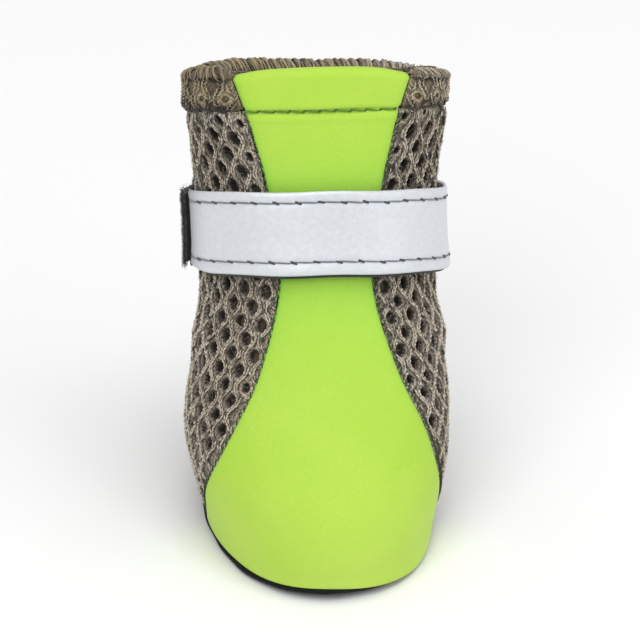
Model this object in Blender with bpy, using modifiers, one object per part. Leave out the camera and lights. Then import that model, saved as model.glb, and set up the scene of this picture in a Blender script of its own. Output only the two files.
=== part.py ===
"""Soft dog boot: a spacer-mesh upper with a stretch front panel laid in, a thin rubber sole and a wrap strap.

The toe points along -Y, the heel along +Y, and the boot stands on z = 0 with the origin under its ball.
Sizes below are millimetres and degrees. Blender's own units are metres.
"""

import math
from collections import namedtuple
from functools import lru_cache

import bmesh
import bpy
import numpy as np
from mathutils import Vector

MM = 0.001

# Driving sizes of the last.
SOLE_LENGTH = 57.4
BALL_WIDTH = 48.4
COLLAR_FRONT = 87.8
COLLAR_BACK = 76.6

# Walls and layers.
WALL = 2.8
PANEL_THICK = 1.3
SOLE_THICK = 1.5
INSOLE_THICK = 1.5
GAP = 0.3
BASE = SOLE_THICK + GAP

# Seams and hem. The rim sags at the sides, between the front and the back.
SEAM_DIP = 0.5
SEAM_RUN = 3.0
SEAM_STEP = 0.2
PANEL_EDGE = 1.5
HEM_SWELL = 0.4
STITCH_DIP = 0.35
RIM_ROUND = 0.7
RIM_SAG = 1.8

# Sole.
SOLE_LIP = 0.2
SOLE_BEVEL = 0.5
SOLE_MIDDLE = -5.5
INSOLE_CLEAR = 0.6
TOE_SPRING = 1.2
TOE_SPRING_FROM = -19.0
HEEL_SPRING = 0.5
HEEL_SPRING_FROM = 21.0
SPRING_FADE = 5.0

# Strap, with its places as shares of the girth, counted from the middle of the front towards +X.
# It starts behind the heel, runs over -X, the front and +X, and closes on itself behind the heel.
STRAP_START = -0.56
STRAP_END = 0.66
STRAP_RAMP = 0.10
TAPE_START = -0.226
LOOP_START = -0.548
LOOP_END = -0.234
HOOK_START = 0.452
HOOK_END = 0.648
STRAP_CLEAR = 0.45
STRAP_FLARE = 0.7
BACKING_THICK = 0.9
TAPE_THICK = 0.6
PATCH_THICK = 0.8

# How far each layer's edges stay inside the strap's two sections, as shares of the height between them.
BACKING_MARGIN = 0.04
TAPE_MARGIN = 0.055
PATCH_MARGIN = 0.08
TAPE_INSET = 0.004

# Fineness of the facets, and the steps over which the surface's direction is read.
RING_SAMPLES = 360
ALONG_STEP = 0.4
HEIGHT_STEP = 0.05
SMOOTH_ANGLE = 40
PANEL_LANES = 18
MESH_LANES = 27
STRAP_LANES = 64
DISC_POINTS = 56
DISC_RINGS = (0.0, 0.3, 0.62, 0.86, 1.0)

# One row for each section of the last, from the sole's edge to the collar's rim. facets counts the rows of
# facets up to the next section. front_y and back_y are shares of the sole's length, front_up and back_up
# of the collar's heights above the sole, and width of the ball's width. widest says how far back along the
# section it is widest, nose and heel how square its ends are, and seam how many degrees round from the toe
# the front panel ends.
Row = namedtuple("Row", "name facets front_y front_up back_y back_up width widest nose heel seam")
ROWS = (
    Row("feather", 2, -0.546, 0.000, 0.456, 0.000, 0.872, 0.57, 2.22, 2.30, 86.5),
    Row("bite", 2, -0.552, 0.052, 0.481, 0.059, 0.912, 0.57, 2.20, 2.30, 79.5),
    Row("toe", 3, -0.530, 0.120, 0.498, 0.124, 0.958, 0.54, 2.12, 2.20, 72.0),
    Row("ball", 3, -0.474, 0.196, 0.509, 0.191, 1.000, 0.51, 2.05, 2.12, 61.5),
    Row("vamp", 2, -0.357, 0.296, 0.512, 0.272, 0.996, 0.50, 2.00, 2.10, 49.2),
    Row("instep", 2, -0.209, 0.413, 0.519, 0.360, 0.946, 0.50, 2.00, 2.10, 34.7),
    Row("strap_low", 3, -0.028, 0.578, 0.540, 0.474, 0.893, 0.49, 2.00, 2.10, 24.2),
    Row("strap_high", 2, 0.088, 0.757, 0.592, 0.683, 0.921, 0.49, 2.05, 2.10, 29.0),
    Row("shaft", 2, 0.143, 0.836, 0.610, 0.801, 0.959, 0.49, 2.12, 2.18, 32.0),
    Row("stitch", 0, 0.185, 0.906, 0.613, 0.887, 1.000, 0.49, 2.20, 2.25, 34.8),
    Row("rim", 0, 0.230, 1.000, 0.613, 1.000, 1.012, 0.49, 2.28, 2.35, 40.5),
)
ROW_AT = {row.name: float(index) for index, row in enumerate(ROWS)}

# One row for each row of facets in the hem. past is how far it lies past the named section, counted in
# sections, swell is a share of the hem's swell, or of the stitch's dip where it is below 0, and round is a
# share of the rim's rounding.
HemRow = namedtuple("HemRow", "section past swell round")
HEM = (
    HemRow("stitch", -0.07, 0.1, 0.0),
    HemRow("stitch", 0.0, -1.0, 0.0),
    HemRow("stitch", 0.09, 0.6, 0.0),
    HemRow("stitch", 0.4, 1.0, 0.0),
    HemRow("stitch", 0.85, 0.8, 0.0),
    HemRow("rim", 0.0, 0.0, 1.0),
)


def between_rows(height):
    """The sizes of the section at a height counted in rows, on a smooth curve through the table."""
    index = min(int(height), len(ROWS) - 2)
    step = height - index
    here, after = np.array(ROWS[index][2:]), np.array(ROWS[index + 1][2:])
    before = np.array(ROWS[index - 1][2:]) if index > 0 else 2 * here - after
    beyond = np.array(ROWS[index + 2][2:]) if index + 2 < len(ROWS) else 2 * after - here
    bend = 2 * before - 5 * here + 4 * after - beyond
    twist = beyond - before + 3 * (here - after)
    sizes = here + 0.5 * step * ((after - before) + step * (bend + step * twist))
    return Row("", 0, *sizes)


def spring(y):
    """How far the sole curls up off the floor at a distance along the boot."""
    toe_end, heel_end = ROWS[0].front_y * SOLE_LENGTH, ROWS[0].back_y * SOLE_LENGTH
    toe = max(0.0, (TOE_SPRING_FROM - y) / (TOE_SPRING_FROM - toe_end))
    heel = max(0.0, (y - HEEL_SPRING_FROM) / (heel_end - HEEL_SPRING_FROM))
    return TOE_SPRING * toe**2 + HEEL_SPRING * heel**2


def section_point(row, angle, fade, sag):
    """A point of a section at an angle round from the toe. fade is the sole's share of spring, sag the rim's."""
    front = Vector((0, row.front_y * SOLE_LENGTH, BASE + row.front_up * (COLLAR_FRONT - BASE)))
    back = Vector((0, row.back_y * SOLE_LENGTH, BASE + row.back_up * (COLLAR_BACK - BASE)))
    ahead = math.cos(angle)
    power = 2 / (row.nose if ahead > 0 else row.heel)
    reach = row.widest if ahead > 0 else 1 - row.widest
    along = row.widest - math.copysign(reach * abs(ahead) ** power, ahead)
    point = front.lerp(back, along)
    side = math.sin(angle)
    point.x = math.copysign(abs(side) ** power, side) * row.width * BALL_WIDTH / 2
    point.z += spring(point.y) * fade - RIM_SAG * sag * side**2
    return point


@lru_cache(maxsize=None)
def ring(height):
    """A section as closely spaced points, their distances round from the toe, and the panel's half width."""
    row = between_rows(height)
    fade = max(0.0, 1 - height / SPRING_FADE)
    sag = max(0.0, height - ROW_AT["stitch"])
    angles = np.linspace(-math.pi, math.pi, RING_SAMPLES + 1)
    points = np.array([section_point(row, angle, fade, sag) for angle in angles])
    walked = np.concatenate(([0], np.cumsum(np.linalg.norm(np.diff(points, axis=0), axis=1))))
    distance = walked - walked[RING_SAMPLES // 2]
    panel = np.interp(math.radians(row.seam), angles, distance)
    return points, distance, panel


def last_point(height, distance):
    """The point of the last at a height in rows and a distance round from the toe."""
    points, distances, _ = ring(height)
    girth = distances[-1] - distances[0]
    wrapped = (distance - distances[0]) % girth + distances[0]
    return np.array([np.interp(wrapped, distances, points[:, axis]) for axis in range(3)])


def girth(height):
    distances = ring(height)[1]
    return distances[-1] - distances[0]


def panel_half(height):
    return ring(height)[2]


def along(height, distance):
    """A short step along the section, anticlockwise as seen from above."""
    return last_point(height, distance + ALONG_STEP) - last_point(height, distance - ALONG_STEP)


def skin(height, distance, level):
    """A point at a level above the last, along its normal."""
    top = len(ROWS) - 1
    low, high = max(height - HEIGHT_STEP, 0.0), min(height + HEIGHT_STEP, top)
    share = distance / girth(height)
    up = last_point(high, share * girth(high)) - last_point(low, share * girth(low))
    normal = np.cross(along(height, distance), up)
    return last_point(height, distance) + level * normal / np.linalg.norm(normal)


def spaced(start, end, count, edge):
    """Distances from start to end with a narrow first and last step."""
    return [start, *np.linspace(start + edge, end - edge, count - 1), end]


def mesh_object(name, points, faces, collection):
    """A mesh object from millimetre points, with its faces turned outwards."""
    mesh = bpy.data.meshes.new(name)
    mesh.from_pydata([tuple(p * MM) for p in points], [], faces)
    tidy = bmesh.new()
    tidy.from_mesh(mesh)
    bmesh.ops.recalc_face_normals(tidy, faces=tidy.faces)
    tidy.to_mesh(mesh)
    tidy.free()
    piece = bpy.data.objects.new(name, mesh)
    collection.objects.link(piece)
    return piece


def wall_solid(name, outside, inside, closed, collection):
    """One closed solid between two like grids of points. closed joins the last lane to the first."""
    rows, lanes = outside.shape[:2]
    points = np.concatenate((outside.reshape(-1, 3), inside.reshape(-1, 3)))
    steps = range(lanes if closed else lanes - 1)

    def at(side, row, lane):
        return (side * rows + row) * lanes + lane % lanes

    faces = []
    for lane in steps:
        for row in range(rows - 1):
            for side in (0, 1):
                corners = ((row, lane), (row, lane + 1), (row + 1, lane + 1), (row + 1, lane))
                order = corners if side == 0 else corners[::-1]
                faces.append([at(side, *corner) for corner in order])
        for row, flip in ((0, 1), (rows - 1, -1)):
            edge = [at(1, row, lane), at(1, row, lane + 1), at(0, row, lane + 1), at(0, row, lane)]
            faces.append(edge[::flip])
    if not closed:
        for lane, flip in ((0, -1), (lanes - 1, 1)):
            for row in range(rows - 1):
                edge = [at(0, row, lane), at(1, row, lane), at(1, row + 1, lane), at(0, row + 1, lane)]
                faces.append(edge[::flip])
    return mesh_object(name, points, faces, collection)


def wall_rows():
    """The rows of facets of the upper: a height, how far the hem swells there, and how far its edge is cut."""
    rows = []
    for index, row in enumerate(ROWS):
        rows += [(index + step / row.facets, 0.0, 0.0) for step in range(row.facets)]
    for row in HEM:
        size = HEM_SWELL if row.swell > 0 else STITCH_DIP
        rows.append((ROW_AT[row.section] + row.past, row.swell * size, row.round * RIM_ROUND))
    return rows


def upper_lane(height):
    """Distances round the upper with the level of its outside at each: the recess, then the mesh."""
    half, whole = panel_half(height), girth(height)
    floor = -(PANEL_THICK + GAP)
    edge = half + GAP
    recess = spaced(-edge, edge, PANEL_LANES, GAP + PANEL_EDGE)
    mesh = spaced(edge + SEAM_STEP, whole - edge - SEAM_STEP, MESH_LANES, SEAM_RUN)
    levels = [floor] * len(recess) + [-SEAM_DIP] + [0.0] * (len(mesh) - 2) + [-SEAM_DIP]
    return recess + mesh, levels


def make_upper(collection):
    """The hollow mesh upper, open at the collar and underneath, with a recess for the front panel."""
    outside, inside = [], []
    for height, swell, rounding in wall_rows():
        distances, levels = upper_lane(height)
        in_mesh = [level >= -SEAM_DIP for level in levels]
        out = [level + (swell - rounding if mesh else 0.0) for level, mesh in zip(levels, in_mesh)]
        outside.append([skin(height, d, level) for d, level in zip(distances, out)])
        inside.append([skin(height, d, rounding / 2 - WALL) for d in distances])
    return wall_solid("upper", np.array(outside), np.array(inside), True, collection)


def make_front_panel(collection):
    """The stretch panel from the toe to the collar, laid in the upper's recess."""
    outside, inside = [], []
    for height, swell, rounding in wall_rows():
        half = panel_half(height)
        distances = spaced(-half, half, PANEL_LANES, PANEL_EDGE)
        levels = [swell / 2 - rounding / 2] * len(distances)
        levels[0] = levels[-1] = -SEAM_DIP
        outside.append([skin(height, d, level) for d, level in zip(distances, levels)])
        inside.append([skin(height, d, -PANEL_THICK) for d in distances])
    return wall_solid("front_panel", np.array(outside), np.array(inside), False, collection)


def disc(name, top, outset, collection):
    """An open sheet of the sole's outline at a height, following the toe spring."""
    centre = np.array((0.0, SOLE_MIDDLE, 0.0))
    whole = girth(0.0)
    edge = []
    for index in range(DISC_POINTS):
        distance = index * whole / DISC_POINTS
        point = last_point(0.0, distance)
        step = along(0.0, distance)
        outwards = np.array((step[1], -step[0], 0.0))
        edge.append(point + outset * outwards / np.linalg.norm(outwards))
    points = [centre]
    for share in DISC_RINGS[1:]:
        points += [centre + share * (point - centre) for point in edge]
    for point in points:
        point[2] = top + spring(point[1])
    faces = [(0, 1 + i, 1 + (i + 1) % DISC_POINTS) for i in range(DISC_POINTS)]
    for band in range(len(DISC_RINGS) - 2):
        first = 1 + band * DISC_POINTS
        for i in range(DISC_POINTS):
            j = (i + 1) % DISC_POINTS
            faces.append((first + i, first + DISC_POINTS + i, first + DISC_POINTS + j, first + j))
    return mesh_object(name, points, faces, collection)


def solidify(piece, thick, offset):
    shell = piece.modifiers.new("Thickness", "SOLIDIFY")
    shell.thickness = thick * MM
    shell.offset = offset
    shell.use_even_offset = True
    return shell


def face_up(piece):
    """Turns an open sheet's faces upwards, so that its thickness goes the right way."""
    if sum(polygon.normal.z for polygon in piece.data.polygons) < 0:
        piece.data.flip_normals()


def make_sole(collection):
    """The thin rubber sole, flat on the floor from heel to forefoot and curled up at the toe."""
    sole = disc("sole", SOLE_THICK, SOLE_LIP, collection)
    face_up(sole)
    solidify(sole, SOLE_THICK, -1)
    edge = sole.modifiers.new("Edge", "BEVEL")
    edge.width = SOLE_BEVEL * MM
    edge.segments = 2
    edge.limit_method = "ANGLE"
    edge.angle_limit = math.radians(60)
    return sole


def make_insole(collection):
    """The insole, lying on the sole inside the upper."""
    insole = disc("insole", SOLE_THICK + GAP + INSOLE_THICK, -(WALL + INSOLE_CLEAR), collection)
    face_up(insole)
    solidify(insole, INSOLE_THICK, -1)
    return insole


def strap_level(share):
    """The level of the strap's inner face: on the upper, then up over the hook and loop patches."""
    climb = (share - (HOOK_START - STRAP_RAMP)) / STRAP_RAMP
    climb = min(max(climb, 0.0), 1.0)
    rise = BACKING_THICK + 2 * PATCH_THICK + 3 * GAP
    return STRAP_CLEAR + rise * climb * climb * (3 - 2 * climb)


def tape_level(share):
    return strap_level(share) + BACKING_THICK + GAP


def strip(name, start, end, level, margin, thick, collection):
    """A band along the strap's path between two shares of the girth. level says how high its inner face is."""
    low, high = ROW_AT["strap_low"] + margin, ROW_AT["strap_high"] - margin
    heights = (low, (low + high) / 2, high)
    lanes = max(4, round(STRAP_LANES * (end - start)))
    shares = np.linspace(start, end, lanes + 1)
    points = []
    for height in heights:
        flare = STRAP_FLARE * (ROW_AT["strap_high"] - height)
        points += [skin(height, share * girth(height), level(share) + flare) for share in shares]
    faces = []
    for row in range(len(heights) - 1):
        for lane in range(lanes):
            first = row * (lanes + 1) + lane
            faces.append((first, first + 1, first + lanes + 2, first + lanes + 1))
    band = mesh_object(name, points, faces, collection)
    across, up = points[1] - points[0], points[lanes + 1] - points[0]
    if band.data.polygons[0].normal.dot(np.cross(across, up)) < 0:
        band.data.flip_normals()
    solidify(band, thick, 1)
    return band


def make_strap(collection):
    """The strap's webbing, the reflective tape sewn on it, and the hook and loop patches that close it."""
    loop_level = STRAP_CLEAR + BACKING_THICK + GAP
    hook_level = loop_level + PATCH_THICK + GAP
    layers = (
        ("strap_backing", STRAP_START, STRAP_END, strap_level, BACKING_MARGIN, BACKING_THICK),
        ("reflective_tape", TAPE_START, STRAP_END - TAPE_INSET, tape_level, TAPE_MARGIN, TAPE_THICK),
        ("loop_patch", LOOP_START, LOOP_END, lambda share: loop_level, PATCH_MARGIN, PATCH_THICK),
        ("hook_patch", HOOK_START, HOOK_END, lambda share: hook_level, PATCH_MARGIN, PATCH_THICK),
    )
    return [strip(*layer, collection) for layer in layers]


def finish(piece, colour, roughness):
    """Gives a piece its own material and smooth shading."""
    material = bpy.data.materials.new(piece.name)
    material.use_nodes = True
    shader = material.node_tree.nodes["Principled BSDF"]
    shader.inputs["Base Color"].default_value = (*colour, 1.0)
    shader.inputs["Roughness"].default_value = roughness
    shader.inputs["Metallic"].default_value = 0.0
    piece.data.materials.append(material)
    piece.data.shade_smooth()
    piece.data.set_sharp_from_angle(angle=math.radians(SMOOTH_ANGLE))


def main():
    for old in list(bpy.data.objects):
        bpy.data.objects.remove(old)
    boot = bpy.data.collections.new("dog_boot")
    bpy.context.scene.collection.children.link(boot)
    upper = make_upper(boot)
    panel = make_front_panel(boot)
    sole = make_sole(boot)
    insole = make_insole(boot)
    backing, tape, loop, hook = make_strap(boot)
    finish(upper, (0.17, 0.14, 0.12), 0.9)
    finish(panel, (0.47, 0.78, 0.10), 0.8)
    finish(sole, (0.015, 0.015, 0.017), 0.7)
    finish(insole, (0.05, 0.05, 0.055), 0.9)
    finish(backing, (0.02, 0.02, 0.025), 0.9)
    finish(tape, (0.74, 0.77, 0.81), 0.45)
    finish(loop, (0.02, 0.02, 0.025), 1.0)
    finish(hook, (0.02, 0.02, 0.025), 0.8)


main()
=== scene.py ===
"""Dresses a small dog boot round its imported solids: knit body, stretch panel, strap, sole and stitching.

The toe points along -Y and the boot stands on z = 0. Working sizes are millimetres, and every mesh is made
in metres. A height is counted in rows of the section table, and a distance is measured round from the toe.
"""

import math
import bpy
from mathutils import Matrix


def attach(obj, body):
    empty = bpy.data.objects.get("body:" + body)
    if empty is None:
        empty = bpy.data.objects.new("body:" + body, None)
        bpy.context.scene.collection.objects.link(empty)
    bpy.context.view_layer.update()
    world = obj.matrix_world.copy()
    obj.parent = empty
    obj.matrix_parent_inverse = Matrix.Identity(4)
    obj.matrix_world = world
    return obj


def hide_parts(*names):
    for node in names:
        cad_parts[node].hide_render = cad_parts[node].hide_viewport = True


bl_info = {
    "name": "Dog Boot",
    "version": (1, 0, 0),
    "blender": (4, 5, 0),
    "location": "3D View > Sidebar > Dog Boot",
    "description": "Builds the knit, stretch panel, strap, sole and stitching of a small dog boot",
    "category": "Object",
}

from collections import namedtuple

import bpy
import numpy as np
from mathutils import Matrix, Vector
from mathutils.geometry import delaunay_2d_cdt

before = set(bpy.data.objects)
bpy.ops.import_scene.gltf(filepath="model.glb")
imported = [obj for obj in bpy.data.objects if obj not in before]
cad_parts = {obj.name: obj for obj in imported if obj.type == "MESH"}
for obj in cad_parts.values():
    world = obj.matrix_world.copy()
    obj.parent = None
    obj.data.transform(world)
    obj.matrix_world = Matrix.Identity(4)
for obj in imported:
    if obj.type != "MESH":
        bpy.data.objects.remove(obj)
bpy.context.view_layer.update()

MM = 0.001
BODY = "root"

# Driving sizes of the last, as the solids have them.
SOLE_LENGTH = 57.4
BALL_WIDTH = 48.4
COLLAR_FRONT = 87.8
COLLAR_BACK = 76.6
WALL = 2.8
SOLE_THICK = 1.5
INSOLE_THICK = 1.5
GAP = 0.3
BASE = SOLE_THICK + GAP
TOE_SPRING = 1.2
TOE_SPRING_FROM = -19.0
HEEL_SPRING = 0.5
HEEL_SPRING_FROM = 21.0
SPRING_FADE = 5.0
SOLE_MIDDLE = -5.5

# The soft toe turns a little to one side.
TOE_TURN = 3.0
TOE_TURN_FROM = 5.0
TOE_TURN_RUN = 30.0

# One row for each section of the last, from the sole's edge to the collar's rim, as shares of the sizes
# above. widest is where the section is widest, nose and heel say how square its ends are, and seam is how
# many degrees round from the toe the front panel ends. In millimetres, twist is how far round towards +X the
# cloth has slipped, and aside is how far the soft section leans towards +X.
Row = namedtuple("Row", "name front_y front_up back_y back_up width widest nose heel seam twist aside")
ROWS = (
    Row("feather", -0.546, 0.000, 0.456, 0.000, 0.872, 0.57, 2.22, 2.30, 86.5, -1.6, 0.0),
    Row("bite", -0.552, 0.052, 0.481, 0.059, 0.912, 0.57, 2.20, 2.30, 79.5, -1.6, -0.2),
    Row("toe", -0.530, 0.120, 0.498, 0.124, 0.958, 0.54, 2.12, 2.20, 72.0, -1.5, -0.6),
    Row("ball", -0.474, 0.196, 0.509, 0.191, 1.000, 0.51, 2.05, 2.12, 61.5, -1.15, -0.75),
    Row("vamp", -0.357, 0.296, 0.512, 0.272, 0.996, 0.50, 2.00, 2.10, 49.2, -0.55, -0.3),
    Row("instep", -0.209, 0.413, 0.519, 0.360, 0.946, 0.50, 2.00, 2.10, 34.7, -0.35, 0.0),
    Row("strap_low", -0.028, 0.578, 0.540, 0.474, 0.893, 0.49, 2.00, 2.10, 24.2, -0.1, 0.0),
    Row("strap_high", 0.088, 0.757, 0.592, 0.683, 0.921, 0.49, 2.05, 2.10, 29.0, 0.3, -0.45),
    Row("shaft", 0.143, 0.836, 0.610, 0.801, 0.959, 0.49, 2.12, 2.18, 32.0, 0.35, -0.55),
    Row("stitch", 0.185, 0.911, 0.613, 0.887, 1.000, 0.49, 2.20, 2.25, 34.8, 0.2, -0.6),
    Row("rim", 0.230, 1.000, 0.613, 1.000, 1.012, 0.49, 2.28, 2.35, 40.5, 0.0, -0.6),
)
ROW_AT = {row.name: float(index) for index, row in enumerate(ROWS)}
STITCH_ROW = ROW_AT["stitch"]
RIM_ROW = ROW_AT["rim"]
# The mean rise from one row of the table to the next.
ROW_RISE = COLLAR_BACK / (len(ROWS) - 1)

# Strap, with its places as shares of the girth, counted from the middle of the front towards +X.
STRAP_START = -0.56
STRAP_END = 0.66
STRAP_RAMP = 0.10
TAPE_START = -0.226
LOOP_START = -0.548
LOOP_END = -0.234
HOOK_START = 0.452
HOOK_END = 0.648
STRAP_CLEAR = 0.45
STRAP_FLARE = 0.7
# How many rows lower the strap lies on one side, and how far its lower edge is drawn up at the tape's start.
STRAP_DROP = 0.045
STRAP_PUCKER = 0.13
BACKING_THICK = 0.9
TAPE_THICK = 0.6
PATCH_THICK = 0.8

# How far the cloth reaches down over the sole's top edge, and how high up it starts to. Over one side of the
# toe it laps further down, and the sole's edge is tucked in there.
SKIRT = 0.5
SKIRT_FADE = 2.0
LAP = 0.9
LAP_SHARE = 0.108
LAP_WIDE = 0.10
SOLE_TUCK = 1.5

# Fineness of the grid that the last is read from.
GRID_HEIGHTS = 401
GRID_SHARES = 721

# Soft creases. section is a height in rows, share a place round the girth from the front,
# long and wide are half sizes in millimetres, depth is below 0 for a trough, and lean is in degrees from
# level, rising towards +X.
Crease = namedtuple("Crease", "section share long wide depth lean")
CREASES = (
    Crease(5.65, -0.20, 9.0, 2.2, -0.55, 12),
    Crease(5.15, -0.22, 11.0, 3.2, 0.45, 8),
    Crease(5.70, 0.21, 8.0, 2.2, -0.60, -14),
    Crease(5.20, 0.22, 9.0, 2.8, 0.75, -10),
    Crease(4.30, 0.30, 10.0, 3.0, -0.45, -24),
    Crease(4.10, -0.31, 10.0, 3.2, -0.40, 22),
    Crease(5.55, 0.50, 13.0, 2.6, -0.75, 0),
    Crease(4.90, 0.50, 15.0, 3.4, 0.55, 0),
    Crease(4.10, 0.47, 12.0, 2.8, -0.50, 9),
    Crease(2.60, 0.50, 14.0, 4.5, 0.35, 0),
    Crease(7.45, 0.50, 12.0, 2.2, -0.40, 0),
    Crease(5.60, 0.03, 7.0, 2.4, -0.30, 4),
    Crease(3.40, -0.05, 16.0, 5.0, 0.30, 70),
    Crease(3.10, 0.09, 12.0, 4.0, -0.22, 60),
    Crease(0.60, 0.10, 15.0, 8.0, -0.90, 0),
)


def smooth(value):
    """0 below 0, 1 above 1, and an even S between."""
    value = np.clip(value, 0.0, 1.0)
    return value * value * (3 - 2 * value)


def way_round(share, middle):
    """The shorter way to a place round the girth from another, as a share of the girth."""
    return (share - middle + 0.5) % 1.0 - 0.5


def matched(*values):
    """The values as arrays of one shape."""
    return np.broadcast_arrays(*(np.asarray(value, float) for value in values))


def unit(vectors):
    """The vectors at a length of 1."""
    return vectors / np.linalg.norm(vectors, axis=-1, keepdims=True)


def distances(points, axis=0):
    """How far along its path each point lies."""
    steps = np.linalg.norm(np.diff(points, axis=axis), axis=-1)
    return np.insert(np.cumsum(steps, axis=axis), 0, 0.0, axis=axis)


def between(grid, row, column):
    """What a grid of values holds at places between its own."""
    low = np.minimum(row.astype(int), grid.shape[0] - 2)
    left = np.minimum(column.astype(int), grid.shape[1] - 2)
    extra = (...,) + (None,) * (grid.ndim - 2)
    up, right = (row - low)[extra], (column - left)[extra]
    near = grid[low, left] * (1 - right) + grid[low, left + 1] * right
    far = grid[low + 1, left] * (1 - right) + grid[low + 1, left + 1] * right
    return near * (1 - up) + far * up


def spring(y):
    """How far the sole curls up off the floor at a distance along the boot."""
    toe_end, heel_end = ROWS[0].front_y * SOLE_LENGTH, ROWS[0].back_y * SOLE_LENGTH
    toe = np.maximum(0.0, (TOE_SPRING_FROM - y) / (TOE_SPRING_FROM - toe_end))
    heel = np.maximum(0.0, (y - HEEL_SPRING_FROM) / (heel_end - HEEL_SPRING_FROM))
    return TOE_SPRING * toe**2 + HEEL_SPRING * heel**2


def section_sizes(heights):
    """The table's columns at each height, on a smooth curve through its rows."""
    table = np.array([row[1:] for row in ROWS])
    padded = np.vstack((2 * table[0] - table[1], table, 2 * table[-1] - table[-2]))
    index = np.minimum(heights.astype(int), len(ROWS) - 2)
    step = (heights - index)[:, None]
    before, here, after, beyond = (padded[index + k] for k in range(4))
    bend = 2 * before - 5 * here + 4 * after - beyond
    twist = beyond - before + 3 * (here - after)
    return here + 0.5 * step * ((after - before) + step * (bend + step * twist))


class Last:
    """The boot's outside as a fine grid of points, read at any height and distance round it."""

    def __init__(self):
        self.heights = np.linspace(0, RIM_ROW, GRID_HEIGHTS)
        angles = np.linspace(-math.pi, math.pi, GRID_SHARES)
        points, seams, twists = self.sections(angles)
        walked = distances(points, axis=1)
        walked -= walked[:, GRID_SHARES // 2][:, None]
        self.girths = walked[:, -1] - walked[:, 0]
        self.panels = np.array([np.interp(s, angles, w) for s, w in zip(seams, walked)])
        walked -= twists[:, None]
        shares = np.linspace(-0.5, 0.5, GRID_SHARES)
        even = np.empty_like(points)
        for row in range(GRID_HEIGHTS):
            girth, reached = self.girths[row], walked[row]
            for axis in range(3):
                even[row, :, axis] = np.interp(shares * girth, reached, points[row, :, axis], period=girth)
        wrapped = np.concatenate((even[:, -2:-1], even, even[:, 1:2]), axis=1)
        along = wrapped[:, 2:] - wrapped[:, :-2]
        up = np.gradient(even, axis=0)
        self.grid = np.concatenate((even, unit(np.cross(along, up)), unit(up)), axis=2)

    def sections(self, angles):
        """Every section's points at even angles, the panel's angle in each and the cloth's twist there."""
        sizes = section_sizes(self.heights).T[:, :, None]
        front_y, front_up, back_y, back_up, width, widest, nose, heel, seam, twist, aside = sizes
        ahead, side = np.cos(angles)[None], np.sin(angles)[None]
        power = 2 / np.where(ahead > 0, nose, heel)
        reach = np.where(ahead > 0, widest, 1 - widest)
        along = widest - np.sign(ahead) * reach * np.abs(ahead) ** power
        x = np.sign(side) * np.abs(side) ** power * width * BALL_WIDTH / 2
        y = (front_y + (back_y - front_y) * along) * SOLE_LENGTH
        front_z = BASE + front_up * (COLLAR_FRONT - BASE)
        back_z = BASE + back_up * (COLLAR_BACK - BASE)
        fade = np.maximum(0.0, 1 - self.heights / SPRING_FADE)[:, None]
        z = front_z + (back_z - front_z) * along + spring(y) * fade
        turn = math.radians(TOE_TURN) * smooth((TOE_TURN_FROM - y) / TOE_TURN_RUN)
        x, y = x * np.cos(turn) - y * np.sin(turn), x * np.sin(turn) + y * np.cos(turn)
        return np.stack((x + aside, y, z), axis=2), np.radians(seam[:, 0]), twist[:, 0]

    def girth(self, height):
        return np.interp(height, self.heights, self.girths)

    def panel(self, height):
        return np.interp(height, self.heights, self.panels)

    def read(self, height, share):
        """Point, outward direction and upward direction at a height and a share of the girth."""
        row = np.clip(height, 0, RIM_ROW) / RIM_ROW * (GRID_HEIGHTS - 1)
        column = ((share + 0.5) % 1.0) * (GRID_SHARES - 1)
        both = between(self.grid, row, column)
        return both[..., :3], both[..., 3:6], both[..., 6:]

    def at(self, height, distance, level=0.0):
        """The point at a level above the last, creases included."""
        height, distance, level = matched(height, distance, level)
        share = distance / self.girth(height)
        point, outwards, _ = self.read(height, share)
        lift = level + self.crease(height, share)
        point = point + lift[..., None] * outwards
        skirt = SKIRT + LAP * lap(share)
        point[..., 2] -= skirt * (1 - smooth(height * ROW_RISE / (SKIRT_FADE * skirt / SKIRT)))
        return point

    def crease(self, height, share):
        """How far the creases raise the cloth."""
        lift = np.zeros(np.shape(height))
        for row in CREASES:
            across = way_round(share, row.share) * self.girth(height)
            rise = (height - row.section) * ROW_RISE
            turn = math.radians(row.lean)
            along = across * math.cos(turn) + rise * math.sin(turn)
            off = rise * math.cos(turn) - across * math.sin(turn)
            lift += row.depth * np.exp(-((along / row.long) ** 2) - (off / row.wide) ** 2)
        return lift


def lap(share):
    """How much of the lap over the sole's edge there is at a share of the girth."""
    return np.exp(-((way_round(share, LAP_SHARE) / LAP_WIDE) ** 4))


LAST = Last()


def mesh_piece(name, points, faces, material, replaces=(), uv=None, depth=None):
    """A shown piece from points in millimetres, which rides on the boot's one body."""
    mesh = bpy.data.meshes.new(name)
    points = np.reshape(points, (-1, 3)) * MM
    mesh.from_pydata(points.tolist(), [], [tuple(map(int, face)) for face in faces])
    mesh.update()
    if uv is not None:
        loops = np.empty(len(mesh.loops), int)
        mesh.loops.foreach_get("vertex_index", loops)
        layer = mesh.uv_layers.new(name="flat")
        layer.data.foreach_set("uv", np.reshape(uv, (-1, 2))[loops].ravel())
    if depth is not None:
        attribute = mesh.attributes.new("depth", "FLOAT", "POINT")
        attribute.data.foreach_set("value", np.asarray(depth, float).ravel())
    mesh.shade_smooth()
    piece = bpy.data.objects.new(name, mesh)
    bpy.context.scene.collection.objects.link(piece)
    piece.data.materials.append(material)
    if replaces:
        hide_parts(*replaces)
    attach(piece, BODY)
    return piece


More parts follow.
